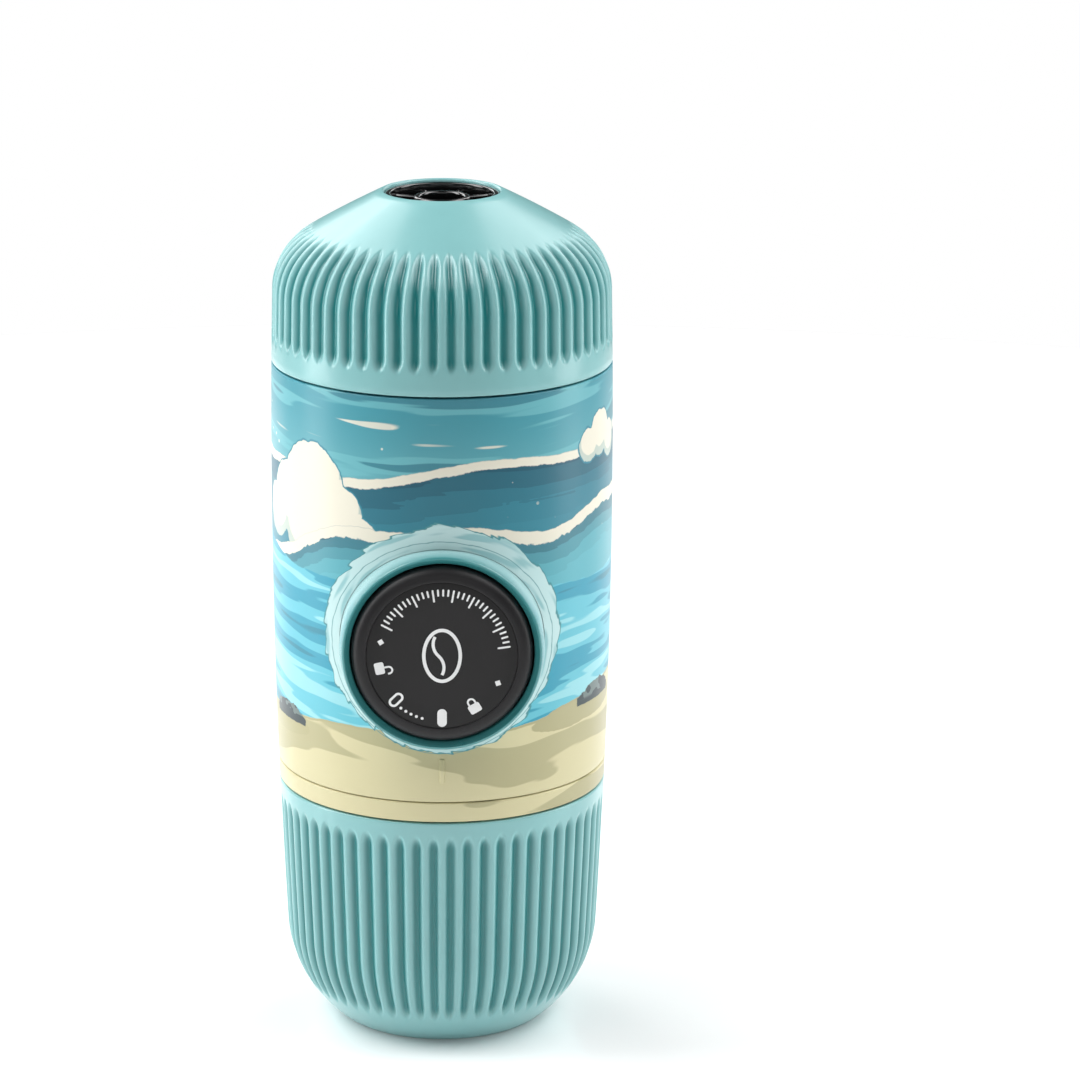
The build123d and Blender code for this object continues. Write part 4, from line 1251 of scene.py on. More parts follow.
@dataclass(frozen=True)
class PrintedFinish:
    """Satin plastic with the landscape printed round it."""

    name: str = "printed_landscape"
    roughness: float = 0.36
    far: Ridge = Ridge(113.5, ((3.2, 1, 150.0), (1.6, 2, 20.0), (0.7, 5, 10.0)), 0.5)
    middle: Ridge = Ridge(98.0, ((4.4, 1, 55.0), (2.0, 3, 95.0), (0.8, 7, 12.0)), 0.7)
    shore: Ridge = Ridge(90.0, ((2.6, 1, -100.0), (1.6, 2, 70.0), (0.6, 6, 30.0)), 0.5)
    sand: Ridge = Ridge(64.5, ((2.8, 1, 110.0), (1.2, 3, -40.0)), 0.4)
    high_cloud: tuple[Puff, ...] = (
        Puff(-62, 103, 6.5), Puff(-49, 106.5, 8.0), Puff(-38, 102, 6.0), Puff(-72, 99.5, 5.0),
        Puff(-52, 98.5, 6.5), Puff(-29, 99, 3.6),
    )
    small_cloud: tuple[Puff, ...] = (Puff(58, 113, 3.2), Puff(66, 114.5, 4.2), Puff(75, 112.5, 3.4))
    back_cloud: tuple[Puff, ...] = (
        Puff(140, 104, 5.0), Puff(152, 107.5, 7.0), Puff(165, 104.5, 6.0), Puff(-176, 102.5, 4.5),
    )
    rocks: tuple[Puff, ...] = (
        Puff(52, 64.5, 3.0), Puff(66, 66.0, 4.6), Puff(-66, 62.0, 4.2), Puff(158, 66.0, 4.8),
        Puff(-142, 63.5, 3.6),
    )

    def material(self) -> bpy.types.Material:
        """Paints the print from the sky down to the sand.

        Returns:
            The material.
        """
        sheet = PrintSheet(self.name)
        sheet.sky()
        sheet.hills(self.far, sheet.HILL_DEEP, sheet.HILL_MID, reach=15.0, rim=1.1)
        sheet.cloud(self.high_cloud)
        sheet.hills(self.middle, sheet.HILL_DEEP, sheet.HILL_PALE, reach=11.0, rim=1.5)
        sheet.cloud(self.small_cloud)
        sheet.cloud(self.back_cloud)
        sheet.specks()
        sheet.lagoon(self.shore)
        sheet.dunes(self.sand)
        sheet.rocks(self.rocks)
        sheet.halo()
        grain = sheet.noise(0.22, shift=12.0)
        sheet.set(Base_Color=sheet.paint, Specular_IOR_Level=0.35, Coat_Weight=0.12, Coat_Roughness=0.2)
        sheet.set(Roughness=(grain - 0.5) * 0.08 + (sheet.streaks - 0.5) * 0.05 + self.roughness)
        sheet.relief(grain, 0.002)
        return sheet.material


# ---------------------------------------------------------------- finishing a piece
def finish_piece(piece: bpy.types.Object, material: bpy.types.Material, node: Optional[str],
                 body: str) -> None:
    """Gives a piece its material and its body, and hides the CAD node it replaces.

    Args:
        piece: the piece.
        material: its finish.
        node: the CAD node it replaces, or None for a piece of its own.
        body: the body it moves with.
    """
    piece.data.materials.clear()
    piece.data.materials.append(material)
    if node:
        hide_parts(node)
    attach(piece, body)
    LOG.info("%s: %d faces, rides on %s", piece.name, len(piece.data.polygons), body)


# ---------------------------------------------------------------- fluted shells
@dataclass(frozen=True)
class Scallop:
    """Cross-section of one flute, and how it swings out at its ends."""

    depth: float = 0.9
    softness: float = 0.1
    fullness: float = 0.85
    crest: float = 1.15
    exponent_cap: float = 40.0

    def depth_at(self, share: float, beyond: float, swing: float) -> float:
        """Depth of the flute at one point of the wall.

        Args:
            share: 0 in the flute's middle, 1 on the rib's crest.
            beyond: distance past the flute's end, or 0.
            swing: radius of the bow in which the flute runs out.

        Returns:
            The depth in millimetres.
        """
        if beyond >= swing:
            return 0.0
        floor = self.depth - swing + math.sqrt(swing**2 - beyond**2)
        wave = (0.5 + 0.5 * math.cos(math.pi * min(share, 1.0))) ** self.fullness
        rise = floor - self.depth * self.crest * (1 - wave)
        return self.softness * math.log1p(math.exp(min(rise / self.softness, self.exponent_cap)))


@dataclass
class FlutedShell:
    """A turned shell with 60 flutes, modelled as one flute and copied round."""

    name: str
    node: str
    body: str
    flutes: int = 60
    columns: int = 16
    swings: Point = (4.0, 4.0)
    scallop: Scallop = Scallop()
    shallowest: float = 0.0005

    def outline(self) -> tuple[Outline, float, float]:
        """Section of the shell, and the lengths along it where the flute starts and ends."""
        raise NotImplementedError

    def build(self) -> bpy.types.Object:
        """Models the shell.

        Returns:
            The finished piece.
        """
        outline, begin, end = self.outline()
        pitch = 360 / self.flutes
        piece = Bench.chain(self.name, [Axle.UPRIGHT.place(*point) for point in outline.points])
        Bench.sweep(Axle.UPRIGHT, pitch, self.columns)
        Bench.clear()
        self.face_out(piece)
        self.mark(piece, outline, begin, end, pitch)
        Bench.modify(piece, "DISPLACE", direction="NORMAL", mid_level=0.0,
                     strength=-self.scallop.depth * MM, vertex_group="scallop")
        piece.vertex_groups.clear()
        Bench.repeat(piece, self.flutes)
        Bench.smooth(piece, limit=80.0)
        return piece

    def face_out(self, piece: bpy.types.Object) -> None:
        """Turns the sector's faces outwards, judged by its widest point.

        Args:
            piece: the sector.
        """
        widest = max(piece.data.polygons, key=lambda face: math.hypot(face.center.x, face.center.y))
        if widest.normal.x * widest.center.x + widest.normal.y * widest.center.y < 0:
            Bench.edit(piece, "FACE")
            bpy.ops.mesh.flip_normals()
            Bench.clear()

    def mark(self, piece: bpy.types.Object, outline: Outline, begin: float, end: float, pitch: float) -> None:
        """Weights the sector's points by the flute's depth.

        Args:
            piece: the sector.
            outline: its section.
            begin, end: lengths along the section where the flute starts and ends.
            pitch: angle from one rib to the next.
        """
        reach = outline.reach()
        group = piece.vertex_groups.new(name="scallop")
        weights = [0.0] * len(piece.data.vertices)
        for vertex in piece.data.vertices:
            spot = (math.hypot(vertex.co.x, vertex.co.y) / MM, vertex.co.z / MM)
            row = min(range(len(reach)), key=lambda i: math.dist(outline.points[i], spot))
            before, after = begin - reach[row], reach[row] - end
            swing = self.swings[0] if before > after else self.swings[1]
            turn = math.degrees(math.atan2(vertex.co.x, -vertex.co.y))
            depth = self.scallop.depth_at(abs(turn - pitch / 2) / (pitch / 2), max(before, after, 0.0), swing)
            if depth > self.shallowest:
                weights[vertex.index] = min(1.0, depth / self.scallop.depth)
                group.add([vertex.index], weights[vertex.index], "REPLACE")
        # the same depth, kept on the points as 'flute', drives the painted shade in the flutes
        kept = piece.data.attributes.new("flute", "FLOAT", "POINT")
        kept.data.foreach_set("value", weights)

    def dress(self) -> None:
        """Builds the shell, gives it its finish and puts it in the CAD shell's place."""
        finish_piece(self.build(), TEAL.material(), self.node, self.body)


@dataclass
class DrinkingCup(FlutedShell):
    """Cup at the foot, which covers the water tank."""

    name: str = "fluted_cup"
    node: str = "cup"
    body: str = "cup"
    swings: Point = (7.0, 5.0)
    rim_z: float = 46.15
    round_r: float = 24.0
    round_z: float = 18.5
    flute_turn: float = 23.0
    flute_top: float = 40.6
    low_run_out: float = 3.7
    high_run_out: float = 3.2
    floor: float = 2.2
    wall: float = 2.7
    edge: float = 0.3
    foot_flat: float = 2.5
    foot_edge: float = 0.8
    foot_break: Point = (0.2, 0.07)
    round_skip: float = 1.6

    def outline(self) -> tuple[Outline, float, float]:
        """Draws the section from the middle of the base up the outside and down the inside.

        Returns:
            The section, and the lengths along it where the flute starts and ends.
        """
        centre, lean = BARREL.corner(self.round_z, self.round_r)
        base = math.degrees(math.asin(-centre[1] / self.round_r))
        foot_r = centre[0] + self.round_r * math.cos(math.radians(base))
        low_end = lean - self.flute_turn
        run_out = math.degrees(self.low_run_out / self.round_r)
        line = Outline().start(0, 0).line(foot_r - self.foot_flat, 0, 2).line(foot_r - self.foot_edge, 0)
        line.line(foot_r - self.foot_break[0], self.foot_break[1])
        line.arc(centre, self.round_r, base + self.round_skip, low_end - run_out, 7)
        line.arc(centre, self.round_r, low_end - run_out, low_end, 14)
        begin = line.reach()[-1]
        line.arc(centre, self.round_r, low_end, lean, 12)
        BARREL.run(line, self.flute_top, 10)
        end = line.reach()[-1]
        BARREL.run(line, self.flute_top + self.high_run_out, 13)
        BARREL.run(line, self.rim_z - self.edge, 3)
        rim_r = BARREL.radius(self.rim_z)
        line.arc((rim_r - self.edge, self.rim_z - self.edge), self.edge, 0, 90, 4)
        inner = BARREL.radius(self.rim_z, self.wall)
        line.arc((inner + self.edge, self.rim_z - self.edge), self.edge, 90, 180, 3)
        inside_r = self.round_r - self.wall
        BARREL.run(line, centre[1] + inside_r * math.sin(math.radians(lean)), 4, self.wall)
        floor = math.degrees(math.asin((self.floor - centre[1]) / inside_r))
        line.arc(centre, inside_r, lean, floor, 7)
        line.line(0, self.floor, 2)
        return line, begin, end


@dataclass
class OutletDome(FlutedShell):
    """Dome with the round outlet window."""

    name: str = "fluted_dome"
    node: str = "head_shell"
    body: str = "outlet_head"
    swings: Point = (4.0, 10.0)
    foot_z: float = 125.1
    top_z: float = 156.0
    round_r: float = 12.3
    round_z: float = 138.2
    round_end: float = 59.0
    flute_foot: float = 131.6
    flute_turn: float = 45.0
    run_out: float = 2.9
    window_r: float = 10.45
    lip: float = 0.5
    crown: float = 2.2
    crown_fine_share: float = 0.13
    wall: float = 2.7
    edge: float = 0.3

    def outline(self) -> tuple[Outline, float, float]:
        """Draws the section from the foot up the outside, over the window's lip and down the inside.

        Returns:
            The section, and the lengths along it where the flute starts and ends.
        """
        centre, lean = BARREL.corner(self.round_z, self.round_r)
        foot_r = BARREL.radius(self.foot_z)
        line = Outline().arc((foot_r - self.edge, self.foot_z + self.edge), self.edge, -90, 0, 4)
        BARREL.run(line, self.flute_foot - self.run_out, 3)
        BARREL.run(line, self.flute_foot, 13)
        begin = line.reach()[-1]
        BARREL.run(line, centre[1] + self.round_r * math.sin(math.radians(lean)), 5)
        line.arc(centre, self.round_r, lean, lean + self.flute_turn, 17)
        end = line.reach()[-1]
        line.arc(centre, self.round_r, lean + self.flute_turn, self.round_end, 13)
        self.rise(line, (self.window_r + self.lip, self.top_z))
        line.arc((self.window_r + self.lip, self.top_z - self.lip), self.lip, 90, 180, 6)
        line.line(self.window_r, self.top_z - self.crown)
        line.arc(centre, self.round_r - self.wall, self.round_end, lean, 7)
        BARREL.run(line, self.foot_z, 3, self.wall)
        line.line(*line.points[0])
        return line, begin, end

    def rise(self, line: Outline, top: Point) -> None:
        """Crown: the arc that leaves the shoulder in line and ends at the window's lip.

        Args:
            line: the outline, which stands at the shoulder's end.
            top: where the arc ends.
        """
        foot = line.points[-1]
        angle = math.radians(self.round_end)
        inward = (-math.cos(angle), -math.sin(angle))
        chord = (top[0] - foot[0], top[1] - foot[1])
        bow = (chord[0] ** 2 + chord[1] ** 2) / (2 * (inward[0] * chord[0] + inward[1] * chord[1]))
        centre = (foot[0] + inward[0] * bow, foot[1] + inward[1] * bow)
        last = math.degrees(math.atan2(top[1] - centre[1], top[0] - centre[0]))
        near = self.round_end + (last - self.round_end) * self.crown_fine_share
        line.arc(centre, bow, self.round_end, near, 5)
        line.arc(centre, bow, near, last, 9)


# ---------------------------------------------------------------- pump body
def sector(name: str, points: Sequence[Point], start: float, arc: float, steps: int) -> bpy.types.Object:
    """Closed block: a section turned about the pump's axis over part of a circle.

    Args:
        name: the piece's name.
        points: the section, with its first point again at the end.
        start: angle where it begins, from the right and towards the top.
        arc: degrees it covers.
        steps: number of columns.

    Returns:
        The piece.
    """
    turn = math.radians(start)
    places = [
        (radius * math.cos(turn) * MM, -along * MM, (PUMP_Z + radius * math.sin(turn)) * MM)
        for radius, along in points
    ]
    piece = Bench.chain(name, places)
    bpy.ops.mesh.select_all(action="SELECT")
    bpy.ops.mesh.remove_doubles(threshold=MERGE * MM)
    bpy.ops.mesh.select_all(action="SELECT")
    bpy.ops.mesh.edge_face_add()
    Bench.spin(arc, steps, Axle.PUMP.centre, Axle.PUMP.direction)
    Bench.weld()
    Bench.clear()
    return piece


def sector_points(inner: float, outer: float, low: float, high: float) -> list[Point]:
    """Section of a sector: a rectangle, with its first corner again at the end."""
    return [(inner, low), (outer, low), (outer, high), (inner, high), (inner, low)]


@dataclass
class PumpBody:
    """Printed sleeve, sand-coloured band and the ring that the knob slides in."""

    sleeve_foot: float = 50.3
    sleeve_top: float = 124.75
    band_foot: float = 46.5
    band_top: float = 50.1
    band_in: float = 27.9
    wall: float = 1.8
    edge: float = 0.25
    columns: int = 300
    hole_r: float = 18.34
    hole_span: Point = (12.0, 45.0)
    hole_columns: int = 144
    ring_r: float = 18.25
    ring_face_r: float = 17.8
    ring_bore: float = 16.4
    ring_foot: float = 20.0
    ring_face: float = 34.4
    ring_round: float = 0.5
    ring_dish: float = 0.8
    ring_taper: float = 3.7
    ring_columns: int = 180
    bore_break: float = 0.16
    bore_in: Point = (0.3, 0.08)
    slot_r: float = 17.4
    slot_end: float = 32.55
    slot_start: float = 79.0
    slot_arc: float = 67.0
    slot_over: float = 1.0
    slot_steps: int = 24
    rib_z: float = 56.3
    rib: Place = (0.9, 1.3, 4.6)
    rib_proud: float = 0.3
    rib_round: float = 0.28

    def rounded_wall(self, foot: float, top: float, inner: Optional[float], parts: int) -> Outline:
        """Section of a sleeve with broken edges.

        Args:
            foot, top: its ends.
            inner: radius of its bore, or None where the bore follows the barrel.
            parts: rows of the outer wall.

        Returns:
            The outline.
        """
        edge = self.edge
        low, high = BARREL.radius(foot), BARREL.radius(top)
        line = Outline().arc((low - edge, foot + edge), edge, -90, 0, 4)
        BARREL.run(line, top - edge, parts)
        line.arc((high - edge, top - edge), edge, 0, 90, 4)
        if inner is None:
            line.line(BARREL.radius(top, self.wall), top)
            BARREL.run(line, foot, 6, self.wall)
        else:
            line.line(inner, top).line(inner, foot)
        return line

    def sleeve(self) -> bpy.types.Object:
        """Models the printed sleeve with the hole for the boss and the index rib.

        Returns:
            The piece.
        """
        outline = self.rounded_wall(self.sleeve_foot, self.sleeve_top, None, 36)
        piece = Bench.turned("printed_sleeve", outline, Axle.UPRIGHT, self.columns)
        near, far = self.hole_span
        hole = Outline().start(0, near).line(self.hole_r, near).line(self.hole_r, far).line(0, far)
        Bench.carve(piece, Bench.turned("hole_cutter", hole, Axle.PUMP, self.hole_columns))
        Bench.smooth(piece, limit=40.0)
        return Bench.join(piece, [self.index_rib()])

    def band(self) -> bpy.types.Object:
        """Plain band above the cup's rim."""
        outline = self.rounded_wall(self.band_foot, self.band_top, self.band_in, 4)
        return Bench.turned("sand_band", outline, Axle.UPRIGHT, self.columns)

    def index_rib(self) -> bpy.types.Object:
        """Models the raised rib under the knob, rounded all over.

        Returns:
            The rib.
        """
        front = -BARREL.radius(self.rib_z) - self.rib_proud
        centre = (0, front + self.rib[1] / 2, self.rib_z)
        rib = Bench.block("index_rib", centre, self.rib, self.rib_round, 4)
        Bench.smooth(rib, limit=60.0)
        return rib

    def ring(self) -> bpy.types.Object:
        """Models the ring round the knob: rounded crest, dished face, and slots inside for the lugs.

        Returns:
            The piece.
        """
        crest = (self.ring_face_r - self.ring_round, self.ring_face - self.ring_round)
        bore_edge = self.ring_face - self.ring_dish
        line = Outline().start(self.ring_bore, self.ring_foot).line(self.ring_r, self.ring_foot)
        line.line(self.ring_r, self.ring_face - self.ring_taper, 2)
        line.line(crest[0] + self.ring_round, crest[1], 3)
        line.arc(crest, self.ring_round, 0, 90, 8)
        line.line(self.ring_bore + self.bore_in[0], bore_edge + self.bore_break, 3)
        line.line(self.ring_bore + self.bore_in[1], bore_edge)
        line.line(self.ring_bore, bore_edge - self.bore_break)
        piece = Bench.turned("knob_ring", line, Axle.PUMP, self.ring_columns)
        for i in range(LUGS):
            Bench.carve(piece, self.slot_cutter(self.slot_start + 360 / LUGS * i))
        Bench.smooth(piece, limit=50.0)
        return piece

    def slot_cutter(self, start: float) -> bpy.types.Object:
        """Block of room for one lug, from a start angle over the lug's and the lock's turn.

        Args:
            start: the angle, from the right and towards the top.

        Returns:
            The block.
        """
        points = sector_points(self.ring_bore - self.slot_over, self.slot_r,
                               self.ring_foot - self.slot_over, self.slot_end)
        return sector("slot_cutter", points, start, self.slot_arc, self.slot_steps)

    def dress(self) -> None:
        """Builds the three pieces and dresses them."""
        printed = PrintedFinish().material()
        band = self.band()
        made = [
            (self.sleeve(), printed, "body_shell", "printed_plastic"),
            (band, printed, "lower_band", "printed_plastic"),
            (self.ring(), TEAL_RING.material(), "boss_ring", "teal_gloss"),
        ]
        for piece, material, node, slot in made:
            finish_piece(piece, material, node, "pump_body")


# ---------------------------------------------------------------- knob
@dataclass
class DialMarks:
    """White marks printed on the dial, all of them plain signs.

    A turn is clockwise from the dial's foot, and a place is a mark's distance from the dial's middle.
    """

    face: float
    thickness: float = 0.03
    lift: float = 0.01
    capsule_place: float = 11.5
    full_capsule: Point = (1.7, 3.3)
    open_capsule: Place = (1.8, 3.0, 0.42)
    open_turn: float = 45
    lock_place: float = 11.3
    lock_turns: Point = (-31, 78)
    lock_case: Place = (2.2, 1.7, 1)
    lock_round: float = 0.35
    bow_r: float = 0.62
    bow_foot: float = 0.8
    bow_line: float = 0.34
    closed_bow: Place = (0.45, 0.45, 0.0)       # its rise, its fall and its shift to the side
    open_bow: Place = (0.75, 0.25, 0.62)
    bean_r: float = 4.1
    bean_shape: Place = (0.86, 1.22, 1)
    bean_line: float = 0.62
    seam_foot: Point = (0.0, -3.55)
    seam_heading: float = 62
    seam_line: float = 0.55
    seam_bends: tuple[Point, ...] = ((2.9, 76), (2.9, -76))
    bend_step: float = 9         # degrees from one row of a bend to the next
    dot_turns: tuple[float, ...] = (17, 22, 27, 32, 37)
    dot_place: float = 12.1
    dot_r: float = 0.27
    diamond_turns: tuple[float, ...] = (103, -63)
    diamond_place: float = 11.1
    diamond_r: float = 0.62
    ticks: int = 33
    tick_start: float = 118
    tick_step: float = 4.5
    tick_out: float = 12.2
    tick_line: float = 0.34
    tick_lengths: Point = (2.3, 1.3)
    long_every: int = 4

    def flat(self, name: str, sides: int, radius: float) -> bpy.types.Object:
        """Flat polygon in the drawing plane, in edit mode.

        Args:
            name: the mark's name.
            sides: number of corners.
            radius: radius in millimetres.

        Returns:
            The mark.
        """
        Bench.clear()
        bpy.ops.mesh.primitive_circle_add(vertices=sides, radius=radius * MM, fill_type="NGON")
        mark = Bench.named(name)
        Bench.edit(mark, "FACE")
        return mark

    def pull(self, mark: bpy.types.Object, up: float) -> None:
        """Draws a flat mark out upwards by moving its upper half.

        Args:
            mark: the mark.
            up: how far it is drawn out.
        """
        Bench.edit(mark)
        bpy.ops.mesh.select_all(action="DESELECT")
        Bench.clear()
        for vertex in mark.data.vertices:
            vertex.select = vertex.co.y > MERGE * MM
        mark.select_set(True)
        bpy.ops.object.mode_set(mode="EDIT")
        bpy.ops.transform.translate(value=(0, up * MM, 0))
        bpy.ops.mesh.select_all(action="SELECT")
        bpy.ops.transform.translate(value=(0, -up / 2 * MM, 0))

    def open_out(self, mark: bpy.types.Object, width: float) -> None:
        """Leaves only a frame of a flat mark.

        Args:
            mark: the mark.
            width: the frame's line width.
        """
        Bench.edit(mark, "FACE")
        bpy.ops.mesh.inset(thickness=width * MM)
        bpy.ops.mesh.delete(type="FACE")
        Bench.clear()

    def capsule(self, width: float, height: float, line: float = 0.0) -> bpy.types.Object:
        """Upright capsule, filled or as an outline.

        Args:
            width, height: its sizes.
            line: line width of the outline, or 0 where it is filled.

        Returns:
            The mark.
        """
        mark = self.flat("capsule", 40, width / 2)
        self.pull(mark, height - width)
        if line:
            self.open_out(mark, line)
        return mark

    def ribbon(self, start: Point, heading: float, width: float, turns: Sequence[Point]) -> bpy.types.Object:
        """Line of one width, drawn as straight runs and bends.

        Args:
            start: where it begins.
            heading: direction in degrees.
            width: its width.
            turns: pairs of radius and angle; an angle of 0 makes the first number a straight run.

        Returns:
            The mark.
        """
        spot, aim = start, math.radians(heading)
        side = (-math.sin(aim), math.cos(aim))
        ends = [
            tuple((spot[i] + sign * side[i] * width / 2) * MM for i in (0, 1)) + (0.0,)
            for sign in (-1, 1)
        ]
        mark = Bench.chain("ribbon", ends)
        bpy.ops.mesh.select_all(action="SELECT")
        for size, angle in turns:
            side = (-math.sin(aim), math.cos(aim))
            if angle == 0:
                step = (math.cos(aim) * size, math.sin(aim) * size)
                move = (step[0] * MM, step[1] * MM, 0)
                bpy.ops.mesh.extrude_region_move(TRANSFORM_OT_translate={"value": move})
                spot = (spot[0] + step[0], spot[1] + step[1])
                continue
            hand = math.copysign(1, angle)
            centre = (spot[0] + hand * side[0] * size, spot[1] + hand * side[1] * size)
            steps = max(3, int(abs(angle) / self.bend_step))
            Bench.spin(angle, steps, (centre[0] * MM, centre[1] * MM, 0), (0, 0, 1))
            aim += math.radians(angle)
            spot = (centre[0] + hand * math.sin(aim) * size, centre[1] - hand * math.cos(aim) * size)
        Bench.clear()
        return mark

    def padlock(self, bow: Place) -> bpy.types.Object:
        """Small padlock.

        Args:
            bow: how its shackle stands: rise, fall and shift to the side.

        Returns:
            The mark.
        """
        Bench.clear()
        bpy.ops.mesh.primitive_plane_add(size=MM)
        case = Bench.named("padlock")
        Bench.edit(case)
        bpy.ops.transform.resize(value=self.lock_case)
        bpy.ops.mesh.bevel(offset=self.lock_round * MM, segments=4, affect="VERTICES")
        Bench.clear()
        rise, fall, shift = bow
        left = (-self.bow_r + shift, self.bow_foot)
        shackle = self.ribbon(left, 90, self.bow_line, [(rise, 0), (self.bow_r, -180), (fall, 0)])
        return Bench.join(case, [shackle])

    def bean(self) -> bpy.types.Object:
        """Draws the coffee bean in the dial's middle: an outlined oval with a curved seam.

        Returns:
            The mark.
        """
        oval = self.flat("bean", 72, self.bean_r)
        bpy.ops.transform.resize(value=self.bean_shape)
        self.open_out(oval, self.bean_line)
        seam = self.ribbon(self.seam_foot, self.seam_heading, self.seam_line, self.seam_bends)
        return Bench.join(oval, [seam])

    def at(self, mark: bpy.types.Object, radius: float, turn: float) -> bpy.types.Object:
        """Carries a mark to its place on the dial.

        Args:
            mark: the flat mark.
            radius: distance from the dial's middle.
            turn: degrees clockwise from the foot.

        Returns:
            The mark, on the dial's face.
        """
        angle = math.radians(turn)
        mark.rotation_euler = (0, 0, -angle)
        mark.location = (-radius * math.sin(angle) * MM, -radius * math.cos(angle) * MM, 0)
        Bench.settle(mark)
        mark.rotation_euler = (math.pi / 2, 0, 0)
        mark.location = (0, -(self.face + self.lift) * MM, PUMP_Z * MM)
        return Bench.settle(mark)

    def tick(self, number: int) -> bpy.types.Object:
        """Draws one line of the scale.

        Args:
            number: which one it is.

        Returns:
            The mark.
        """
        length = self.tick_lengths[0] if number % self.long_every == 0 else self.tick_lengths[1]
        mark = self.capsule(self.tick_line, length)
        return self.at(mark, self.tick_out - length / 2, self.tick_start + number * self.tick_step)

    def build(self) -> bpy.types.Object:
        """Draws all marks.

        Returns:
            The marks, as one thin raised piece.
        """
        marks = [
            self.at(self.capsule(*self.full_capsule), self.capsule_place, 0),
            self.at(self.capsule(*self.open_capsule), self.capsule_place, self.open_turn),
            self.at(self.padlock(self.closed_bow), self.lock_place, self.lock_turns[0]),
            self.at(self.padlock(self.open_bow), self.lock_place, self.lock_turns[1]),
            self.at(self.bean(), 0, 0),
        ]
        marks += [self.at(self.flat("dot", 16, self.dot_r), self.dot_place, turn) for turn in self.dot_turns]
        for turn in self.diamond_turns:
            marks.append(self.at(self.flat("diamond", 4, self.diamond_r), self.diamond_place, turn))
        marks += [self.tick(i) for i in range(self.ticks)]
        piece = Bench.join(marks[0], marks[1:])
        piece.name = piece.data.name = "dial_marks"
        Bench.modify(piece, "SOLIDIFY", thickness=self.thickness * MM, offset=0.0)
        Bench.edit(piece)
        bpy.ops.mesh.normals_make_consistent(inside=False)
        Bench.clear()
        return piece


@dataclass
class LockingKnob:
    """Black knob with its dial."""

    radius: float = 16.1
    face: float = 35.4
    back: float = 13.5
    rim_round: float = 2.2
    wall: float = 1.7
    front: float = 3.4
    dial_r: float = 13.4
    dial_gap: float = 0.03
    dial_back: float = 33.9
    dial_face: float = 35.2
    behind: float = 0.05
    edge: float = 0.05
    lip: float = 0.2
    hub_r: float = 6.5
    hub_back: float = 24.05
    head_r: float = 4.05
    head_seat: float = 31.75
    stub_r: float = 3.06
    lug_out: float = 17.1
    lug_length: float = 2.0
    lug_arc: float = 20.0
    lug_steps: int = 10
    columns: int = 180
    dial_columns: int = 144

    def cap(self) -> bpy.types.Object:
        """Models the hollow cap with a rounded rim, a recess for the dial, a hub and three lugs.

        Returns:
            The piece.
        """
        recess, well = self.dial_r + self.dial_gap, self.dial_back - self.behind
        inner, ceiling = self.radius - self.wall, self.face - self.front
        corner = (self.radius - self.rim_round, self.face - self.rim_round)
        line = Outline().start(self.radius, self.back).line(self.radius, corner[1], 4)
        line.arc(corner, self.rim_round, 0, 90, 14)
        line.arc((recess + self.lip, self.dial_face), self.lip, 90, 180, 8)
        line.line(recess, well).line(self.head_r, well, 3)
        line.line(self.head_r, self.head_seat).line(self.stub_r, self.head_seat)
        line.line(self.stub_r, self.hub_back).line(self.hub_r, self.hub_back)
        line.line(self.hub_r, ceiling).line(inner, ceiling).line(inner, self.back)
        piece = Bench.turned("knob_cap", line, Axle.PUMP, self.columns)
        root, tip = self.radius - self.wall / 2, self.back + self.lug_length
        block = sector_points(root, self.lug_out, self.back, tip)
        first = 90 - self.lug_arc / 2
        starts = [first + 360 / LUGS * i for i in range(LUGS)]
        lugs = [sector("lug", block, start, self.lug_arc, self.lug_steps) for start in starts]
        return Bench.join(piece, lugs)

    def dial(self) -> bpy.types.Object:
        """Models the dial: a thin disc with a rounded edge.

        Returns:
            The piece.
        """
        line = Outline().start(0, self.dial_back)
        line.line(self.dial_r, self.dial_back, 2).line(self.dial_r, self.dial_face - self.edge)
        line.arc((self.dial_r - self.edge, self.dial_face - self.edge), self.edge, 0, 90, 4)
        line.line(0, self.dial_face, 6)
        return Bench.turned("dial", line, Axle.PUMP, self.dial_columns, close=False)

    def dress(self) -> None:
        """Builds the cap, the dial and its marks and dresses them."""
        made = [
            (self.cap(), KNOB_BLACK, "piston_knob", "black_satin"),
            (self.dial(), DIAL_BLACK, "dial_disc", "dial_black"),
            (DialMarks(self.dial_face).build(), INK_WHITE, None, "dial_black"),
        ]
        for piece, finish, node, slot in made:
            finish_piece(piece, finish.material(), node, "knob")


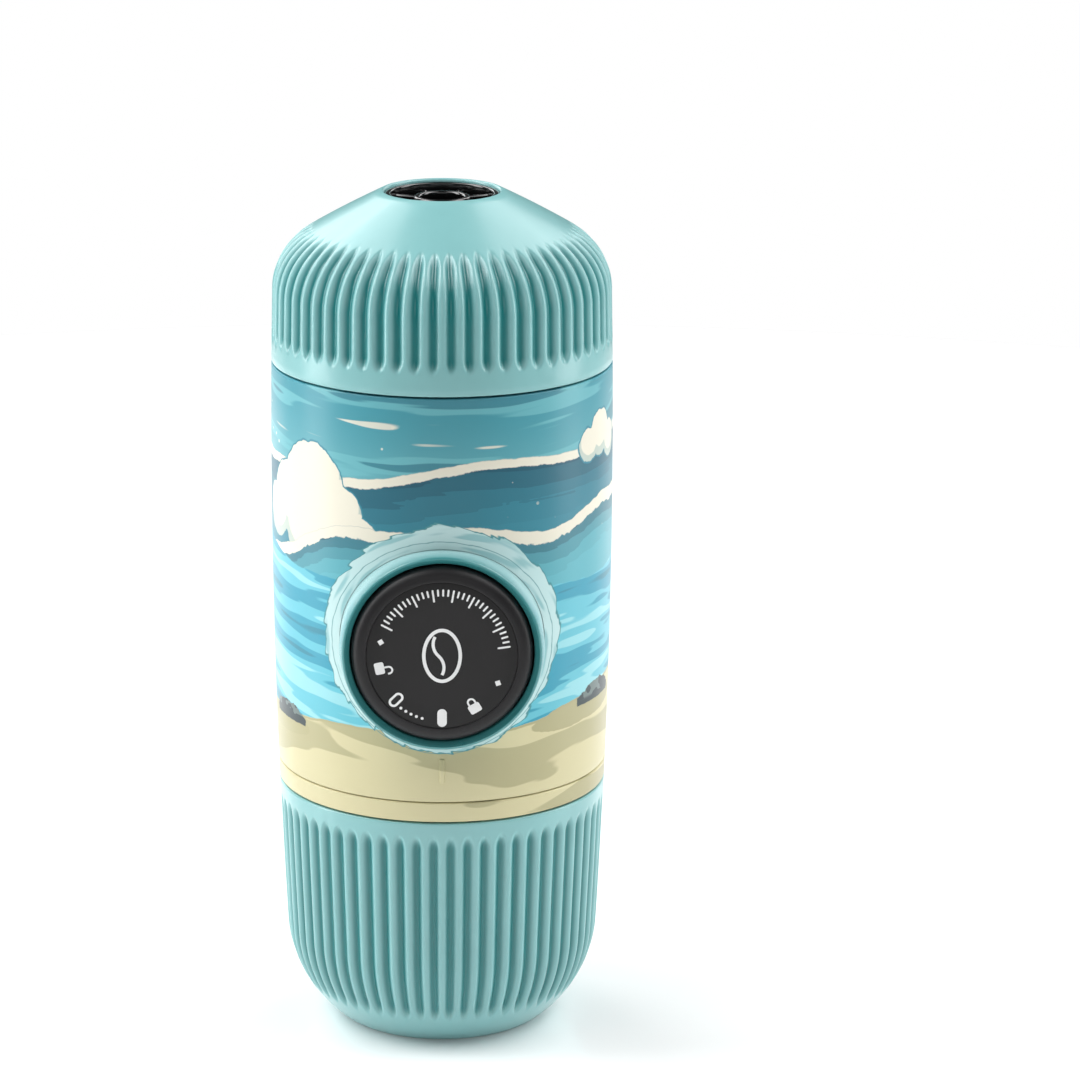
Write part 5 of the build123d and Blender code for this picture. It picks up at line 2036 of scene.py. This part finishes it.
# ---------------------------------------------------------------- outlet
@dataclass
class OutletBowl:
    """Glossy bowl in the window, with a ring and vanes round the nozzle."""

    radius: float = 10.3
    under: float = 147.9
    top: float = 155.5
    wall: float = 1.0
    floor_t: float = 1.2
    floor_round: float = 2.6
    foot_in: float = 1.4
    foot_high: float = 3.0
    rim_round: float = 0.32
    bore: float = 2.95
    ring_r: float = 4.5
    ring_t: float = 1.1
    ring_top: float = 154.95
    vane_t: float = 1.0
    vane_top: float = 154.55
    vanes: int = 8
    sunk: float = 0.5
    soft: float = 0.42
    columns: int = 144
    ring_columns: int = 96

    @property
    def floor(self) -> float:
        """Height of the bowl's floor."""
        return self.under + self.floor_t

    def bowl(self) -> bpy.types.Object:
        """Models the bowl, from the bore down, round the outside and back over the rim.

        Returns:
            The bowl.
        """
        inner, rim = self.radius - self.wall, self.top - self.rim_round
        line = Outline().start(self.bore, self.floor).line(self.bore, self.under)
        line.line(self.radius - self.foot_in, self.under, 2)
        line.line(self.radius, self.top - self.foot_high, 2).line(self.radius, rim)
        line.arc((self.radius - self.rim_round, rim), self.rim_round, 0, 90, 4)
        line.arc((inner + self.rim_round, rim), self.rim_round, 90, 180, 4)
        line.arc((inner - self.floor_round, self.floor + self.floor_round), self.floor_round, 0, -90, 10)
        line.line(self.bore, self.floor, 3)
        return Bench.turned("outlet_bowl", line, Axle.UPRIGHT, self.columns, close=False)

    def ring(self) -> bpy.types.Object:
        """Models the ring round the nozzle, with a soft top edge.

        Returns:
            The ring.
        """
        inner, outer = self.ring_r - self.ring_t / 2, self.ring_r + self.ring_t / 2
        low, high = self.floor - self.sunk, self.ring_top - self.soft
        line = Outline().start(inner, low).line(outer, low).line(outer, high)
        line.arc((outer - self.soft, high), self.soft, 0, 90, 6)
        line.arc((inner + self.soft, high), self.soft, 90, 180, 6)
        return Bench.turned("bowl_ring", line, Axle.UPRIGHT, self.ring_columns)

    def vane_set(self) -> bpy.types.Object:
        """Models the vanes: one bevelled bar, copied round.

        Returns:
            The vanes.
        """
        outer = self.radius - self.wall + self.sunk
        height = self.vane_top - self.floor + self.sunk
        centre = (0, -(self.ring_r + outer) / 2, self.vane_top - height / 2)
        bar = Bench.block("vanes", centre, (self.vane_t, outer - self.ring_r, height), self.soft, 3)
        Bench.repeat(bar, self.vanes)
        bar.rotation_euler = (0, 0, math.radians(180 / self.vanes))
        Bench.settle(bar)
        Bench.smooth(bar, limit=60.0)
        return bar

    def dress(self) -> None:
        """Builds the bowl, its ring and its vanes as one piece and dresses it."""
        piece = Bench.join(self.bowl(), [self.ring(), self.vane_set()])
        finish_piece(piece, BOWL_BLACK.material(), "spout_insert", "outlet_head")


# ---------------------------------------------------------------- valve springs
@dataclass(frozen=True)
class ValveSpring:
    """Spring over a valve's ball, which shortens as the ball lifts."""

    valve: str
    coil_r: float = 1.6
    wire_r: float = 0.22
    wire_sides: int = 10
    turns: int = 4
    steps: int = 24
    keep: float = 0.75

    def coil(self, length: float) -> bpy.types.Object:
        """Round wire wound up from the origin and closed at both ends.

        Args:
            length: height of the spring, its wire included.

        Returns:
            The coil.
        """
        Bench.clear()
        bpy.ops.mesh.primitive_circle_add(
            vertices=self.wire_sides, radius=self.wire_r * MM, rotation=(math.pi / 2, 0, 0),
            location=(self.coil_r * MM, 0, self.wire_r * MM),
        )
        piece = Bench.settle(Bench.named(f"{self.valve}_spring"))
        pitch = (length - 2 * self.wire_r) / self.turns
        Bench.modify(piece, "SCREW", axis="Z", angle=2 * math.pi, iterations=self.turns,
                     screw_offset=pitch * MM, steps=self.steps, render_steps=self.steps)
        Bench.edit(piece)
        bpy.ops.mesh.fill_holes(sides=0)
        bpy.ops.mesh.normals_make_consistent(inside=False)
        Bench.clear()
        return piece

    def dress(self) -> None:
        """Winds the spring where its node is."""
        node = f"{self.valve}_valve_spring"
        low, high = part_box(node)
        piece = self.coil((high[2] - low[2]) / MM)
        piece.location = ((low[0] + high[0]) / 2, (low[1] + high[1]) / 2, low[2])
        Bench.settle(piece)
        Bench.smooth(piece, limit=50.0)
        finish_piece(piece, STEEL.material(), node, "pump_body")
        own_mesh(piece)


# ---------------------------------------------------------------- pieces inside
class InnerWorks:
    """Pieces inside the body, whose solids stay and get a finish by their material slot."""

    def __init__(self, record: dict) -> None:
        """Reads which slot each node has.

        Args:
            record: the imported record.
        """
        self.slots = {part["node"]: part["material_slot"] for part in record["subparts"]}
        self.made: dict[str, bpy.types.Material] = {}

    def material(self, slot: str) -> bpy.types.Material:
        """Makes a slot's material, but only once.

        Args:
            slot: the record's material slot.

        Returns:
            The material.
        """
        if slot not in self.made:
            self.made[slot] = FINISH_OF_SLOT[slot].material()
        return self.made[slot]

    def dress(self) -> int:
        """Gives every node that has a plain finish its material.

        Returns:
            The number of nodes.
        """
        plain = [name for name in frame["nodes"] if self.slots[name] in FINISH_OF_SLOT]
        for name in plain:
            piece = frame["nodes"][name]
            material = self.material(self.slots[name])
            if piece.material_slots:
                for place in piece.material_slots:
                    place.material = material
            else:
                piece.data.materials.append(material)
        return len(plain)


# ---------------------------------------------------------------- studio
@dataclass(frozen=True)
class Softbox:
    """One soft light: where it stands, what it faces, its size and power."""

    name: str
    place: Place
    aim: Place
    size: Point
    power: float

    def light(self) -> None:
        """Puts the light in the scene."""
        data = bpy.data.lights.new(self.name, "AREA")
        data.shape = "RECTANGLE"
        data.size, data.size_y = self.size
        data.energy = self.power
        lamp = bpy.data.objects.new(self.name, data)
        bpy.context.scene.collection.objects.link(lamp)
        lamp.location = self.place
        away = [a - b for a, b in zip(self.place, self.aim)]
        turn = math.atan2(away[0], -away[1])
        tilt = math.atan2(math.hypot(away[0], away[1]), away[2])
        lamp.rotation_euler = (tilt, 0, turn)


@dataclass
class Studio:
    """White table, soft lights and the camera."""

    camera_place: Place = (0.0, -0.7797, 0.3074)
    camera_tilt: float = 74.47
    lens: float = 147.1
    sensor: float = 36.0
    shift: float = 0.0907
    nearest: float = 0.01
    table_r: float = 0.58
    table_sides: int = 160
    table_glow: float = 0.05
    air_light: float = 0.06
    backdrop_light: float = 1.0
    boxes: tuple[Softbox, ...] = (
        Softbox("softbox_left", (-0.60, 0.0, 0.34), (0, 0, 0.09), (0.28, 1.0), 4.8),
        Softbox("softbox_right", (0.60, 0.02, 0.34), (0, 0, 0.09), (0.28, 1.0), 3.3),
        Softbox("softbox_front", (0.0, -1.5, 0.55), (0, 0, 0.09), (1.4, 0.8), 3.5),
        Softbox("softbox_back_left", (-0.62, 0.95, 0.55), (0, 0, 0.12), (0.62, 0.9), 4.6),
        Softbox("softbox_back_right", (0.66, 0.95, 0.50), (0, 0, 0.12), (0.50, 0.9), 2.4),
        Softbox("softbox_top_left", (-1.7, 0.6, 2.6), (-1.7, 0.6, 0), (2.0, 5.0), 80.0),
        Softbox("softbox_top_right", (1.7, 0.6, 2.6), (1.7, 0.6, 0), (2.0, 5.0), 74.0),
    )

    def floor(self) -> None:
        """Round white table with a faint gloss."""
        Bench.clear()
        bpy.ops.mesh.primitive_circle_add(vertices=self.table_sides, radius=self.table_r, fill_type="NGON")
        piece = Bench.named("table")
        Bench.edit(piece, "FACE")
        bpy.ops.mesh.inset(thickness=self.table_r / 2)
        Bench.clear()
        sheet = NodeSheet("white_table")
        mist = sheet.noise(60.0)
        sheet.set(Base_Color=sheet.blend(mist, srgb(249, 250, 250), srgb(252, 252, 252)))
        sheet.set(Roughness=(mist - 0.5) * 0.04 + 0.14, Specular_IOR_Level=0.5)
        sheet.set(Emission_Color=(1.0, 1.0, 1.0, 1.0), Emission_Strength=self.table_glow)
        piece.data.materials.append(sheet.material)

    def world(self) -> None:
        """White to the camera and a dimmer grey to everything else."""
        world = bpy.data.worlds.new("studio_air")
        world.use_nodes = True
        tree = world.node_tree
        tree.nodes.clear()
        output = tree.nodes.new("ShaderNodeOutputWorld")
        mixer = tree.nodes.new("ShaderNodeMixShader")
        path = tree.nodes.new("ShaderNodeLightPath")
        tree.links.new(path.outputs["Is Camera Ray"], mixer.inputs[0])
        for place, strength in ((1, self.air_light), (2, self.backdrop_light)):
            shade = tree.nodes.new("ShaderNodeBackground")
            shade.inputs["Color"].default_value = (1.0, 1.0, 1.0, 1.0)
            shade.inputs["Strength"].default_value = strength
            tree.links.new(shade.outputs[0], mixer.inputs[place])
        tree.links.new(mixer.outputs[0], output.inputs["Surface"])
        bpy.context.scene.world = world

    def camera(self) -> None:
        """Camera at the object's front, a little above it."""
        data = bpy.data.cameras.new("camera")
        data.lens = self.lens
        data.sensor_width = self.sensor
        data.shift_x = self.shift
        data.clip_start = self.nearest
        piece = bpy.data.objects.new("camera", data)
        piece.location = self.camera_place
        piece.rotation_euler = (math.radians(self.camera_tilt), 0, 0)
        bpy.context.scene.collection.objects.link(piece)
        bpy.context.scene.camera = piece

    def dress(self) -> None:
        """Sets up the table, the lights, the air and the camera."""
        self.floor()
        for box in self.boxes:
            box.light()
        self.world()
        self.camera()
        bpy.context.scene.view_settings.view_transform = "Standard"


def main() -> None:
    """Builds and dresses the sub-assemblies in order and reports each piece."""
    logging.basicConfig(level=logging.INFO, format="%(message)s")
    Studio().dress()
    LOG.info("carried over and dressed: %d nodes", InnerWorks(frame["record"]).dress())
    DrinkingCup().dress()
    PumpBody().dress()
    LockingKnob().dress()
    OutletDome().dress()
    OutletBowl().dress()
    for valve in ("inlet", "outlet"):
        ValveSpring(valve).dress()


if __name__ == "__main__":
    main()
